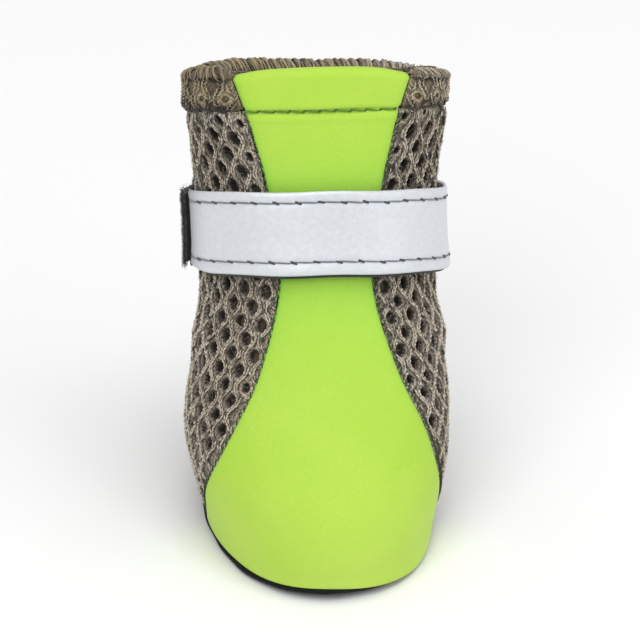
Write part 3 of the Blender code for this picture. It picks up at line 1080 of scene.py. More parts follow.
class HemFold:
    """The collar's turned edge in profile: up the outside from the stitch line, over the rim, down inside.

    out is how far it stands out from the last, and proud how far its top stands above the rim.
    """

    def __init__(self, out, proud):
        roll = (out - HEM_IN) / 2
        crown = HEM_RISE - roll + proud
        along = np.linspace(0, crown, 60)
        lift = out * smooth(along / 1.3) - STITCH_DIP * (1 - smooth(along / 0.7))
        turn = np.linspace(0, math.pi, 40)[1:]
        over = np.stack((crown + roll * np.sin(turn), out - roll + roll * np.cos(turn)), axis=1)
        down = np.linspace(crown, crown - HEM_DEEP, 40)[1:]
        inner = np.stack((down, np.full(len(down), HEM_IN)), axis=1)
        self.path = np.concatenate((np.stack((along, lift), axis=1), over, inner))
        self.walked = distances(self.path)
        ahead = unit(np.gradient(self.path, axis=0))
        self.out = np.stack((-ahead[:, 1], ahead[:, 0]), axis=1)
        self.length = self.walked[-1]
        self.top = self.walked[len(along) + len(turn) // 2]

    def section(self, w, level):
        """Where a point of the fold lies along the boot and above its surface."""
        along, lift, away, rise = (
            np.interp(w, self.walked, column) for column in (*self.path.T, *self.out.T)
        )
        return along + level * away, lift + level * rise

    def height(self, w):
        along, _ = self.section(w, 0.0)
        return hem_row(along)

    def half_width(self, w):
        """Half the knit's width on the flat hem, up to the front panel."""
        height = self.height(w)
        return (0.5 - (LAST.panel(height) + GAP) / LAST.girth(height)) * HEM_GIRTH

    def at(self, share, w, level=0.0):
        """A point of the fold at a share of the girth and a distance over the fold."""
        share, w, level = matched(share, w, level)
        along, lift = self.section(w, level)
        side = np.sin(math.tau * share)
        sag = HEM_SAG * np.abs(side) ** (3.5 - 1.5 * side) * (1 + 0.3 * side)
        for wave in RIM_WAVES:
            sag = sag - wave.rise * np.exp(-((way_round(share, wave.share) / wave.wide) ** 2))
        along = along * (1 - sag / HEM_RISE)
        height = hem_row(along)
        _, _, up = LAST.read(height, share)
        over = np.maximum(0.0, along - HEM_RISE)
        return LAST.at(height, share * LAST.girth(height), lift) + over[..., None] * up


KNIT_FOLD = HemFold(HEM_OUT, HEM_PROUD)
# The body has painted shade above the strap. The hem has painted shadow over its stitch line and just under
# the yarn of its rim, and the rim's outer side is painted darker than its top and inner side.
RIM_FOOT = KNIT_FOLD.top - RIM_WOUND - 0.1
HEM_WARMTH = 0.5
BODY_SHADES = (Shade(50.0, 60.0, 0.0, 0.09),)
HEM_SHADES = (
    Shade(0.4, 3.0, 0.68, 0.0),
    Shade(RIM_FOOT - 1.0, RIM_FOOT, 0.0, 0.5),
    Shade(RIM_FOOT, RIM_FOOT + 0.35, 0.0, -0.27),
    Shade(KNIT_FOLD.top - 0.5, KNIT_FOLD.top + 1.5, 0.0, -0.27),
)


def make_knit_hem(sizes, material, yarn):
    """The knit's turned hem at the collar, and the yarn on it."""
    fold = KNIT_FOLD

    def inside(points):
        u, w = points.T
        return np.minimum(fold.half_width(w) - np.abs(u), np.minimum(w, fold.length - w))

    def below_rim(points):
        return np.minimum(inside(points), np.abs(points[:, 1] - fold.top) - RIM_WOUND + 0.3)

    def place(u, w, level):
        flat = np.stack((u, w), axis=1)
        room = np.maximum(inside(flat), 0)
        side = fold.half_width(w) - np.abs(u)
        lift = level * (0.4 + 0.6 * smooth((room - 0.3) / 1.5)) + edge_dip(np.maximum(side, 0), 2.4, 0.5)
        lift = lift + uneven(flat, 17, 0.16, 8) + uneven(flat, 6, 0.06, 9)
        return fold.at(u / HEM_GIRTH + 0.5, w, lift)

    rises = np.linspace(0, fold.length, 46)
    outline = sheet_outline(fold.half_width(rises), rises, rises, lambda u: fold.length + 0 * u)
    box = outline.min(0), outline.max(0)
    rng = np.random.default_rng(23)
    lattice = Lattice(sizes, 0.0)
    holes = lattice.holes(*box, rng)
    for at, (u, w, size, turn) in holes.items():
        shut = 1 - smooth((abs(w - fold.top) - RIM_WOUND) / 0.8)
        holes[at] = (u, w, size * max(0.0, rng.uniform(-0.3, 0.85)) * (1 - shut), turn)
    perforated("knit_hem", holes, inside, outline, place, HEM_RINGS, material)
    make_wales("hem_yarn", box, lattice, HEM_WALE, below_rim, place, yarn, 37)
    make_rim_yarn(fold, place, yarn)
    make_hem_core(fold, material)


def make_rim_yarn(fold, place, material):
    """Yarn wound over the rim on the slant, several strands to a turn, one turn beside another."""
    rng = np.random.default_rng(41)
    side = float(fold.half_width(fold.top)) - 0.4
    turns = np.linspace(-side, side, round(2 * side / RIM_TURN))[:, None]
    each_turn, each = turns.shape, (RIM_STRANDS * len(turns), 1)
    strand = np.linspace(-1, 1, RIM_STRANDS)
    u = (turns + rng.normal(0, 0.14, each_turn) + strand * RIM_TURN * RIM_SPREAD).reshape(-1, 1)
    arch = RIM_ARCH * (1 - strand**2) + 0 * turns + rng.normal(0, 0.05, each_turn)
    along = np.linspace(-1, 1, RIM_POINTS)[None]
    bow = 1 - along**8
    reach = RIM_WOUND * rng.normal(1.0, 0.10, each)
    slip = rng.normal(0, 0.3, each) * along + rng.normal(0, 0.16, each) * np.sin(4.2 * along)
    centre = np.stack((
        u - RIM_LEAN * along + slip,
        fold.top + reach * along + 0 * u,
        (arch.reshape(-1, 1) + rng.normal(0, 0.04, each)) * bow - 0.3 * (1 - bow),
    ), axis=-1)
    thick = YARN_RADIUS * rng.uniform(0.6, 1.0, each) * (0.65 + 0.35 * bow)
    # Painted shade on a turn's outer strands and at the strands' ends, added to their random dullness.
    dull_and_shade = rng.uniform(-0.05, 0.28, each_turn) + 0.4 * strand**2
    dull_and_shade = dull_and_shade.reshape(-1, 1) + rng.normal(0.0, 0.14, each) + 0.3 * (1 - bow)
    return yarn_tubes("rim_yarn", centre, thick, dull_and_shade, place, material)


def make_hem_core(fold, material):
    """The hem's second layer, which shows down its holes."""
    rows, columns = 48, 110
    w = np.linspace(CORE_INSET, fold.length - CORE_INSET, rows)[:, None]
    edge = fold.half_width(w) / HEM_GIRTH - 0.004
    share = np.linspace(-1, 1, columns)[None] * edge
    level = CORE_LEVEL + CORE_RISE * (1 - smooth((np.abs(w - fold.top) - RIM_WOUND + 0.6) / 1.2))
    points = fold.at(share + 0.5, w, level)
    uv = np.stack((share * HEM_GIRTH, w + 0 * share), axis=2)
    # Painted shade over the whole core, which is seen only down the hem's holes.
    dull_and_shade = np.full(share.shape, 0.5)
    core = mesh_piece("hem_core", points, grid_faces(rows, columns), material, (), uv, dull_and_shade)
    thicken(core, CORE_THICK)


def make_lining(material):
    """The closed inner face of the knit, from the sole up into the hem."""
    rows, columns = 60, 120
    height = np.linspace(0.02, RIM_ROW - 0.12, rows)[:, None]
    height, share = matched(height, np.linspace(0, 1, columns, endpoint=False))
    points = LAST.at(height, share * LAST.girth(height), LINING_LEVEL)
    uv = np.stack((share * HEM_GIRTH, height * ROW_RISE), axis=2)
    faces = grid_faces(rows, columns, closed=True)
    lining = mesh_piece("lining", points, faces, material, uv=uv)
    thicken(lining, WALL + LINING_LEVEL)


# Front panel

PANEL_THICK = 0.9
# How closely its columns crowd towards its edges, and the width and depth of the dip at its seams.
PANEL_CROWD = math.pi / 2 * 0.94
PANEL_DIP = (1.4, 0.25)


def make_front_panel(material):
    """The green stretch panel from the toe to the collar, over the rim and down inside."""
    fold = HemFold(HEM_PANEL_OUT, HEM_PANEL_PROUD)
    spread = np.sin(np.linspace(-1, 1, 66) * PANEL_CROWD) / math.sin(PANEL_CROWD)
    side = np.sign(spread)
    heights = np.concatenate((
        np.linspace(0, 0.4, 8)[:-1],
        np.linspace(0.4, 8.6, 240),
        np.linspace(8.6, STITCH_ROW, 14)[1:],
    ))[:, None]
    half = LAST.panel(heights)
    walked = heights * ROW_RISE * math.tau
    ragged = 0.09 * np.sin(walked / 1.7 + side) + 0.07 * np.sin(walked / 2.9 + 2 * side)
    distance = spread * half + ragged * side * np.abs(spread) ** 12
    height = heights + 0 * distance
    rise = height * ROW_RISE
    flat = np.stack((distance, rise), axis=2)
    room = np.maximum(0, half - np.abs(distance))
    wave = uneven(flat, 30, 0.16, 5) * smooth(room / 4)
    lift = edge_dip(room, *PANEL_DIP) + edge_dip(rise, 0.9, 0.15) + wave
    to_stitch = (STITCH_ROW - height) * ROW_RISE
    puffed = 0.12 * np.exp(-(((to_stitch - 1.6) / 0.8) ** 2))
    lift = lift - STITCH_DIP * (1 - smooth(to_stitch)) + puffed
    body = LAST.at(height, distance, lift)

    w = np.linspace(0, fold.length, 90)[1:, None]
    hem_height = fold.height(w)
    hem_half = LAST.panel(hem_height)
    hem_distance = spread * hem_half
    hem_room = hem_half - np.abs(hem_distance)
    w = w + 0 * hem_distance
    hem_flat = np.stack((hem_distance, HEM_RISE * STITCH_ROW + w), axis=2)
    hem_wave = uneven(hem_flat, 14, 0.10, 6) * smooth(hem_room / 4)
    hem_lift = edge_dip(hem_room, *PANEL_DIP) + hem_wave
    hem = fold.at(hem_distance / LAST.girth(hem_height), w, hem_lift)

    points = np.concatenate((body, hem))
    uv = np.concatenate((flat, np.stack((hem_distance, STITCH_ROW * ROW_RISE + w), axis=2)))
    faces = grid_faces(*points.shape[:2])
    rooms, rows = np.concatenate((room, hem_room)), np.concatenate((heights, hem_height))
    # The depth here is painted shade: near the panel's seams and near the strap.
    to_strap = np.maximum(ROW_AT["strap_low"] - rows, rows - ROW_AT["strap_high"]) * ROW_RISE
    depth = 0.5 * np.exp(-rooms / 0.9) + 0.4 * np.exp(-np.maximum(to_strap, 0) / 5.0)
    depth, slot = np.clip(depth, 0, 1), "green_stretch_fabric"
    panel = mesh_piece("green_panel", points, faces, material, ("front_panel",), uv, depth)
    thicken(panel, PANEL_THICK)


# Stitching

# A row of thread, in millimetres: each stitch's length, the space after it, the thread's radius, how far the
# stitch stands up, how far it slants across the row, how far its ends sink, and where the row starts.
Thread = namedtuple("Thread", "length space radius lift slant sink start", defaults=(0.0,))
HEM_ON_PANEL = Thread(2.75, 0.1, 0.18, 0.1, 0.3, 0.1)
HEM_KNOTS = Thread(0.9, 1.95, 0.2, 0.08, -0.35, 0.12, 1.425)
HEM_ON_KNIT = Thread(2.75, 0.1, 0.24, 0.1, 0.4, 0.1)
SEAM_LEFT = Thread(1.1, 0.08, 0.24, 0.1, 0.6, 0.15)
SEAM_RIGHT = Thread(1.1, 0.35, 0.17, 0.1, -0.6, 0.15)
THREAD_RINGS = 9
THREAD_SIDES = 7
# How deep the hem's thread lies in the panel and in the knit.
PANEL_THREAD_LEVEL = -0.17
KNIT_THREAD_LEVEL = -0.30
# How far towards +X the seams' thread lies from the panel's edges.
SEAM_SLIP = 0.10


def stitch_row(name, path, outwards, material, thread):
    """Thread laid along a path: one rounded stitch after another, with its ends sunk into the cloth."""
    walked = distances(path)

    def read(distance, columns):
        return np.stack([np.interp(distance, walked, column) for column in columns.T], axis=-1)

    rng = np.random.default_rng(len(name))
    turn = np.arange(THREAD_SIDES)[:, None] * math.tau / THREAD_SIDES
    bow = np.sin(np.linspace(0, math.pi, THREAD_RINGS))
    rise = thread.lift * bow**0.5 - thread.sink * (1 - bow**0.35)
    tube = grid_faces(THREAD_RINGS, THREAD_SIDES, closed=True)
    tube.append(tuple(range(THREAD_SIDES))[::-1])
    tube.append(tuple(range((THREAD_RINGS - 1) * THREAD_SIDES, THREAD_RINGS * THREAD_SIDES)))
    points, faces = [], []
    place = thread.start + thread.space / 2
    while place + thread.length < walked[-1]:
        along = place + np.linspace(0, thread.length, THREAD_RINGS) * rng.uniform(0.88, 1.0)
        centre, away = read(along, path), unit(read(along, outwards))
        across = np.cross(unit(np.gradient(centre, axis=0)), away)
        lean = thread.slant * rng.uniform(0.6, 1.3) * np.linspace(-0.5, 0.5, THREAD_RINGS)
        lean = lean + 0.2 * thread.radius * rng.normal()
        centre = centre + away * rise[:, None] + across * lean[:, None]
        thick = thread.radius * rng.uniform(0.88, 1.1) * (0.55 + 0.45 * bow**0.5)
        around = away[:, None] * np.sin(turn) + across[:, None] * np.cos(turn)
        faces += [tuple(len(points) + index for index in face) for face in tube]
        points.extend((centre[:, None] + thick[:, None, None] * around).reshape(-1, 3))
        place += thread.length + thread.space
    return mesh_piece(name, points, faces, material)


def ring_path(height, shares, level):
    """Points and outward directions along a section, at a level above the last."""
    heights = np.full(len(shares), float(height))
    _, outwards, _ = LAST.read(heights, shares)
    return LAST.at(heights, shares * LAST.girth(heights), level), outwards


def make_hem_stitches(colours):
    """The two rows of thread that hold the collar's hem, one on the panel and one on the knit."""
    half = float(LAST.panel(STITCH_ROW) / LAST.girth(STITCH_ROW))
    front = np.linspace(-half - 0.002, half + 0.002, 160)
    path, outwards = ring_path(STITCH_ROW, front, PANEL_THREAD_LEVEL)
    green = thread_finish("green_thread", colours.green_thread)
    # A darker copy of the thread: painted shade at the needle holes.
    pit_shade = thread_finish("needle_pit_shade", scaled(colours.green_thread, 0.7))
    stitch_row("hem_stitches_panel", path, outwards, green, HEM_ON_PANEL)
    stitch_row("hem_knots_panel", path, outwards, pit_shade, HEM_KNOTS)
    back = np.linspace(half + 0.006, 1 - half - 0.006, 400)
    path, outwards = ring_path(STITCH_ROW, back, KNIT_THREAD_LEVEL)
    # Real thread on the knit's hem, whose dark colour also serves as painted shadow along the stitch line.
    dark = thread_finish("dark_thread_and_shadow", colours.dark_thread_and_shadow)
    stitch_row("hem_stitches_knit", path, outwards, dark, HEM_ON_KNIT)


def make_seam_stitches(colours):
    """Short overlock stitches across the seam between the knit and the panel, down both sides."""
    # Real overlock thread, whose dark colour also serves as painted shadow along the panel's edges.
    material = thread_finish("seam_thread_and_shadow", colours.seam_thread_and_shadow)
    heights = np.linspace(0.15, STITCH_ROW - 0.1, 400)
    seams = (("seam_stitches_left", 1, SEAM_LEFT), ("seam_stitches_right", -1, SEAM_RIGHT))
    for name, side, thread in seams:
        distance = side * LAST.panel(heights) + SEAM_SLIP
        level = -0.08 + 0.12 * side - 0.16 * smooth((heights - 4.0) / 2.0)
        path = LAST.at(heights, distance, level)
        _, outwards, _ = LAST.read(heights, distance / LAST.girth(heights))
        stitch_row(name, path, outwards, material, thread)


# Strap

# The layers as pieces. start and end are shares of the girth, low and high say where its edges lie across the
# strap, from -1 to 1, and thick is in millimetres.
Layer = namedtuple("Layer", "name node slot start end low high thick columns")
WEBBING = Layer(
    "strap_webbing", "strap_backing", "black_webbing", STRAP_START, STRAP_END, -0.97, 0.925, 0.85, 26
)
TAPE = Layer(
    "silver_tape", "reflective_tape", "silver_tape", TAPE_START, STRAP_END - 0.004, -0.91, 0.965, 0.6, 40
)
LOOPS = Layer("loop_field", "loop_patch", "loop_pile", LOOP_START, LOOP_END, -0.86, 0.86, 0.7, 26)
HOOKS = Layer("hook_field", "hook_patch", "hook_tape", HOOK_START, HOOK_END, -0.86, 0.86, 0.7, 26)
# How many lanes of faces go round the girth, and how closely a lane's columns crowd towards the edges.
STRAP_LANES = 300
STRAP_CROWD = 0.85
LOOP_TOP = STRAP_CLEAR + BACKING_THICK + PATCH_THICK + GAP * 0.6
HOOK_TOP = LOOP_TOP + PATCH_THICK + GAP


def strap_level(share):
    """The level of the strap's inner face: on the upper, then up over the hook and loop patches."""
    climb = smooth((share - (HOOK_START - STRAP_RAMP)) / STRAP_RAMP)
    return STRAP_CLEAR + (BACKING_THICK + 2 * PATCH_THICK + 3 * GAP) * climb


def webbing_top(share):
    return strap_level(share) + BACKING_THICK + 0.05


def tape_top(share):
    return strap_level(share) + BACKING_THICK + GAP * 0.4 + TAPE_THICK + 0.15


def strap_point(share, across, level):
    """A point of the strap. across runs from -1 at its lower edge to 1 at its upper edge."""
    share, across, level = matched(share, across, level)
    low, high = ROW_AT["strap_low"], ROW_AT["strap_high"]
    height = low + (high - low) * (across * 0.5 + 0.5)
    height = height - STRAP_DROP * np.maximum(0.0, np.sin(math.tau * share)) ** 2
    flare = STRAP_FLARE * (high - height)
    point, outwards, _ = LAST.read(height, share)
    return point + (level + flare)[..., None] * outwards


def make_strap(sizes, colours):
    """Webbing, reflective tape with its two rows of stitches, and the hook-and-loop closing."""
    width = 0.5 * float(np.linalg.norm(strap_point(0.0, 1.0, 0.0) - strap_point(0.0, -1.0, 0.0)))
    row = 1 - sizes.strap_stitch_inset / MM / width
    length = sizes.stitch_length / MM

    def tape_shape(share, across, flat):
        edge = 1 - smooth((1 - np.abs(across)) * width / 0.7)
        valley = np.exp(-(((np.abs(across) - row) * width / 0.55) ** 2))
        pucker = 0.5 + 0.5 * np.cos(share * HEM_GIRTH * math.tau / (length + 0.6))
        ends = 1 - smooth(np.minimum(share - TAPE_START, STRAP_END - share) * HEM_GIRTH / 0.6)
        lift = -0.28 * edge - valley * (0.10 + 0.08 * pucker) - 0.25 * ends
        return lift + uneven(flat, 19, 0.14, 14) + uneven(flat, 6, 0.035, 15)

    def plain_shape(share, across, flat):
        edge = 1 - smooth((1 - np.abs(across)) * width / 0.6)
        return -0.2 * edge + uneven(flat, 15, 0.06, 16)

    def surface(layer, share, across, level, shape):
        """Points of a layer's face, and their places on the flat layer."""
        share, across = np.broadcast_arrays(share, across)
        flat = np.stack((share * HEM_GIRTH, across * width), axis=-1)
        low, high = layer.low, layer.high
        reached = (low + high + across * (high - low)) / 2 + 0.012 * np.sin(share * 46 + 1.3) * np.abs(across)
        drawn = np.exp(-(((share - TAPE_START) * HEM_GIRTH / 4) ** 2))
        reached = reached + STRAP_PUCKER * drawn * np.maximum(0, -across) ** 3
        return strap_point(share, reached, level(share) + shape(share, across, flat)), flat

    pile = pile_finish(colours)
    for layer, level, shape, material in (
        (WEBBING, webbing_top, plain_shape, webbing_finish(colours)),
        (TAPE, tape_top, tape_shape, tape_finish(colours)),
        (LOOPS, lambda share: LOOP_TOP, plain_shape, pile),
        (HOOKS, lambda share: HOOK_TOP, plain_shape, pile),
    ):
        lanes = int((layer.end - layer.start) * STRAP_LANES) + 2
        share = np.linspace(layer.start, layer.end, lanes)[:, None]
        across = np.linspace(-1, 1, layer.columns)[None]
        across = np.sign(across) * np.abs(across) ** STRAP_CROWD
        points, flat = surface(layer, share, across, level, shape)
        faces = grid_faces(lanes, layer.columns, inwards=True)
        piece = mesh_piece(layer.name, points, faces, material, (layer.node,), flat)
        thicken(piece, layer.thick)

    def pile_place(u, v, level):
        return strap_point(u / HEM_GIRTH, v / width, LOOP_TOP + level)

    reach = 0.84 * width
    low, high = (LOOP_START * HEM_GIRTH, -reach), (LOOP_END * HEM_GIRTH + 0.3, reach)
    starts = np.random.default_rng(61).uniform(low, high, (LOOP_HAIRS, 2))
    make_hairs("loop_hairs", starts, LOOP_HAIR, pile_place, pile, 62)

    shares = np.linspace(TAPE_START + 0.001, STRAP_END - 0.006, 900)
    stitches = Thread(length, 0.1, 0.18, 0.08, 0.2, 0.06)
    knots = Thread(1.5, length - 1.4, 0.24, 0.1, 0.42, 0.1, (length + 0.1) / 2)
    navy = thread_finish("navy_thread", colours.navy)
    # A darker copy of the thread: painted shade at the needle holes.
    pit_shade = thread_finish("tape_pit_shade", scaled(colours.navy, 0.55))
    for name, side in (("strap_stitches_upper", 1), ("strap_stitches_lower", -1)):
        path, _ = surface(TAPE, shares, side * row, tape_top, tape_shape)
        outwards = strap_point(shares, side * row, 1.0) - strap_point(shares, side * row, 0.0)
        stitch_row(name, path, outwards, navy, stitches)
        stitch_row(name + "_knots", path, outwards, pit_shade, knots)


# Sole

SoleEdge = namedtuple("SoleEdge", "outset up")
SOLE_EDGE = (
    SoleEdge(-0.9, 0.32),
    SoleEdge(-0.55, 0.30),
    SoleEdge(-0.25, 0.34),
    SoleEdge(-0.02, 0.46),
    SoleEdge(0.08, 0.70),
    SoleEdge(0.08, 0.96),
    SoleEdge(-0.02, 1.22),
    SoleEdge(-0.28, 1.42),
    SoleEdge(-0.7, 1.46),
)
SOLE_LANES = 160
SOLE_CENTRE = np.array((0.0, SOLE_MIDDLE))
# The tread's dots, and their profile from the sole down to the floor, as shares of their radius and heights.
DOT_PITCH = 2.3
DOT_RADIUS = 0.72
DOT_SIDES = 10
DOT_PROFILE = ((1.0, 0.36), (0.92, 0.14), (0.72, 0.02), (0.4, 0.0))
DOT_ROWS = range(-16, 17)
DOT_COLUMNS = range(-12, 13)
DOTS_MIDDLE = -2.5
TREAD_INSET = 1.9
# The insole's rings, from its middle out, as shares of its outline and rises.
INSOLE_RINGS = ((0.12, 0.0), (0.35, 0.02), (0.6, 0.06), (0.8, 0.14), (0.92, 0.32), (1.0, 0.62))
INSOLE_LANES = 120
INSOLE_INSET = WALL + 0.35
FELT_THICK = 1.2


def foot_outline(lanes, outset):
    """The last's lowest section as flat points, moved outwards."""
    points, outwards, _ = LAST.read(np.zeros(lanes), np.arange(lanes) / lanes)
    return points[:, :2] + unit(outwards[:, :2]) * np.reshape(outset, (-1, 1))


def sole_outline(outset):
    """The sole's outline at a distance outside the last's lowest section."""
    shares = np.arange(SOLE_LANES) / SOLE_LANES
    wobble = 0.10 * np.sin(shares * math.tau * 7 + 0.6) + 0.07 * np.sin(shares * math.tau * 17 + 2.0)
    return foot_outline(SOLE_LANES, outset + wobble - SOLE_TUCK * lap(shares))


def make_sole(material):
    """The thin rubber sole with its rounded edge, and the small round dots of its tread."""
    under, over = SOLE_EDGE[0].up, SOLE_EDGE[-1].up
    inner = sole_outline(SOLE_EDGE[0].outset) - SOLE_CENTRE
    rings = [(SOLE_CENTRE + share * inner, under) for share in (0.25, 0.5, 0.75, 0.9)]
    rings += [(sole_outline(edge.outset), edge.up) for edge in SOLE_EDGE]
    rings += [(SOLE_CENTRE + share * inner, over) for share in (0.9, 0.6, 0.3)]
    points = np.concatenate([np.column_stack((flat, up + spring(flat[:, 1]))) for flat, up in rings])
    faces = grid_faces(len(rings), SOLE_LANES, closed=True)
    first, last = len(points), len(points) - SOLE_LANES
    points = np.vstack((points, (*SOLE_CENTRE, under), (*SOLE_CENTRE, over)))
    for lane in range(SOLE_LANES):
        after = (lane + 1) % SOLE_LANES
        faces.append((first, after, lane))
        faces.append((first + 1, last + lane, last + after))
    mesh_piece("rubber_sole", points, faces, material, ("sole",))
    make_tread(material)


def make_tread(material):
    """Round dots all over the sole's underside. They stand on the floor."""
    outline = sole_outline(-TREAD_INSET)
    angles = [side * math.tau / DOT_SIDES for side in range(DOT_SIDES)]
    dot = grid_faces(len(DOT_PROFILE), DOT_SIDES, closed=True, inwards=True)
    dot.append(tuple((len(DOT_PROFILE) - 1) * DOT_SIDES + k for k in range(DOT_SIDES))[::-1])
    rise = DOT_PITCH * math.sqrt(3) / 2
    points, faces = [], []
    for row in DOT_ROWS:
        for column in DOT_COLUMNS:
            x, y = (column + 0.5 * (row % 2)) * DOT_PITCH, row * rise + DOTS_MIDDLE
            if not within(outline, x, y):
                continue
            faces += [tuple(len(points) + k for k in face) for face in dot]
            for reach, up in DOT_PROFILE:
                radius = reach * DOT_RADIUS
                for angle in angles:
                    around, ahead = x + radius * math.cos(angle), y + radius * math.sin(angle)
                    points.append((around, ahead, up + float(spring(ahead))))
    mesh_piece("tread_dots", points, faces, material)


def within(outline, x, y):
    """Whether a flat point lies inside a closed outline."""
    x1, y1 = outline.T
    x2, y2 = np.roll(x1, -1), np.roll(y1, -1)
    cuts = (y1 > y) != (y2 > y)
    reach = x1 + (y - y1) / np.where(y2 == y1, 1, y2 - y1) * (x2 - x1)
    return bool(np.count_nonzero(cuts & (x < reach)) % 2)


def make_insole(material):
    """The thin felt insole, turned up a little where it meets the lining."""
    edge = foot_outline(INSOLE_LANES, -INSOLE_INSET) - SOLE_CENTRE
    rings = []
    for share, up in INSOLE_RINGS:
        ring = SOLE_CENTRE + share * edge
        x, y = ring.T
        top = BASE + INSOLE_THICK + up + spring(y) + 0.06 * np.sin(x * 0.6) * np.cos(y * 0.5)
        rings.append(np.column_stack((ring, top)))
    faces = grid_faces(len(rings), INSOLE_LANES, closed=True, inwards=True)
    faces.append(tuple(range(INSOLE_LANES)))
    insole = mesh_piece("felt_insole", rings, faces, material, ("insole",))
    thicken(insole, FELT_THICK)


# Sizes and colours that a user would change

def size_property(name, description, default):
    return bpy.props.FloatProperty(
        name=name, description=description, default=default, min=0.0001, max=0.05, unit="LENGTH", precision=5
    )


def colour_property(name, description, default):
    return bpy.props.FloatVectorProperty(
        name=name, description=description, default=default, size=3, min=0.0, max=1.0, subtype="COLOR_GAMMA"
    )


class DogBootSizes(bpy.types.PropertyGroup):
    """Sizes of the knit and the stitching."""

    hole_width: size_property("Hole width", "Width of a hole in the knit", 0.0027)
    hole_pitch: size_property("Hole pitch", "Distance between holes along a row of the knit", 0.0051)
    hole_rise: size_property("Row rise", "Distance between rows of holes in the knit", 0.0031)
    stitch_length: size_property("Stitch length", "Length of a stitch on the strap", 0.0041)
    strap_stitch_inset: size_property("Strap stitch inset", "From the strap's edge to its stitches", 0.0026)


class DogBootColours(bpy.types.PropertyGroup):
    """Colours of the cloths, the rubber and the thread."""

    green: colour_property("Green", "Front panel", (0.695, 0.845, 0.285))
    # Paler dye patches, and the painted light towards the toe.
    green_pale_and_lit: colour_property("Green light", "Paler patches of the front panel", (0.76, 0.875, 0.37))
    green_shade: colour_property("Green shade", "Between the front panel's loops", (0.58, 0.79, 0.23))
    # Colour of the painted shade on the front panel by the strap and seams.
    green_painted_shade: colour_property("Green deep", "Front panel by the strap and seams", (0.49, 0.78, 0.27))
    knit_yarn: colour_property("Knit yarn", "Lightest yarn of the knit", (0.93, 0.88, 0.81))
    knit_shade: colour_property("Knit shade", "Darker strands of the knit", (0.21, 0.175, 0.14))
    knit_warm: colour_property("Knit warm", "Brownish areas of the knit", (0.64, 0.56, 0.39))
    # Colour of the painted shade down the knit's holes, in its grooves and under its yarn.
    knit_hole_shade: colour_property("Knit hole", "Walls of the knit's holes", (0.15, 0.122, 0.096))
    lining: colour_property("Lining", "Inner face of the knit", (0.31, 0.265, 0.21))
    tape: colour_property("Tape", "Reflective tape", (0.868, 0.883, 0.899))
    tape_shade: colour_property("Tape shade", "Duller patches of the reflective tape", (0.818, 0.833, 0.857))
    # Colour of the painted shadow at the tape's start.
    tape_shadow: colour_property("Worn tape", "Rubbed end of the reflective tape", (0.27, 0.28, 0.31))
    black: colour_property("Black", "Webbing and closing", (0.06, 0.06, 0.07))
    black_light: colour_property("Black light", "Raised yarn of the webbing", (0.18, 0.18, 0.195))
    rubber: colour_property("Rubber", "Sole", (0.03, 0.03, 0.033))
    rubber_worn: colour_property("Worn rubber", "Dusty parts of the sole", (0.09, 0.088, 0.085))
    felt: colour_property("Felt", "Insole", (0.14, 0.14, 0.15))
    navy: colour_property("Navy", "Thread on the strap", (0.36, 0.37, 0.41))
    # Thread in the knit, dark also as painted shadow along the hem's stitch line.
    dark_thread_and_shadow: colour_property("Dark thread", "Thread in the knit", (0.13, 0.12, 0.11))
    # Seam thread, dark also as painted shadow along the panel's edges.
    seam_thread_and_shadow: colour_property("Seam thread", "Thread down the front panel's sides", (0.15, 0.17, 0.10))
    green_thread: colour_property("Green thread", "Thread across the front panel", (0.25, 0.41, 0.08))
    floor: colour_property("Floor", "Floor", (0.97, 0.97, 0.97))


# Operators

class DOGBOOT_OT_knit(bpy.types.Operator):
    """Build the knit body, its hem and its lining"""

    bl_idname = "dogboot.knit"
    bl_label = "Knit Upper"

    def execute(self, context):
        sizes, colours = context.scene.dog_boot_sizes, context.scene.dog_boot_colours
        fabric = knit_finish(colours, "spacer_knit", 0.0, BODY_SHADES)
        make_knit_body(sizes, fabric, yarn_finish(colours, "face_yarn", 0.0, BODY_SHADES))
        hem = knit_finish(colours, "hem_knit", HEM_WARMTH, HEM_SHADES)
        make_knit_hem(sizes, hem, yarn_finish(colours, "hem_yarn", HEM_WARMTH, HEM_SHADES))
        make_lining(lining_finish(colours))
        return {"FINISHED"}


class DOGBOOT_OT_panel(bpy.types.Operator):
    """Build the green stretch panel"""

    bl_idname = "dogboot.panel"
    bl_label = "Front Panel"

    def execute(self, context):
        make_front_panel(jersey_finish(context.scene.dog_boot_colours))
        return {"FINISHED"}


class DOGBOOT_OT_stitching(bpy.types.Operator):
    """Sew the hem and the side seams"""

    bl_idname = "dogboot.stitching"
    bl_label = "Stitching"

    def execute(self, context):
        make_hem_stitches(context.scene.dog_boot_colours)
        make_seam_stitches(context.scene.dog_boot_colours)
        return {"FINISHED"}


class DOGBOOT_OT_strap(bpy.types.Operator):
    """Build the reflective strap and its closing"""

    bl_idname = "dogboot.strap"
    bl_label = "Strap"

    def execute(self, context):
        make_strap(context.scene.dog_boot_sizes, context.scene.dog_boot_colours)
        return {"FINISHED"}


class DOGBOOT_OT_sole(bpy.types.Operator):
    """Build the rubber sole, its tread and the insole"""

    bl_idname = "dogboot.sole"
    bl_label = "Sole"

    def execute(self, context):
        colours = context.scene.dog_boot_colours
        make_sole(rubber_finish(colours))
        make_insole(felt_finish(colours))
        return {"FINISHED"}


# Stage

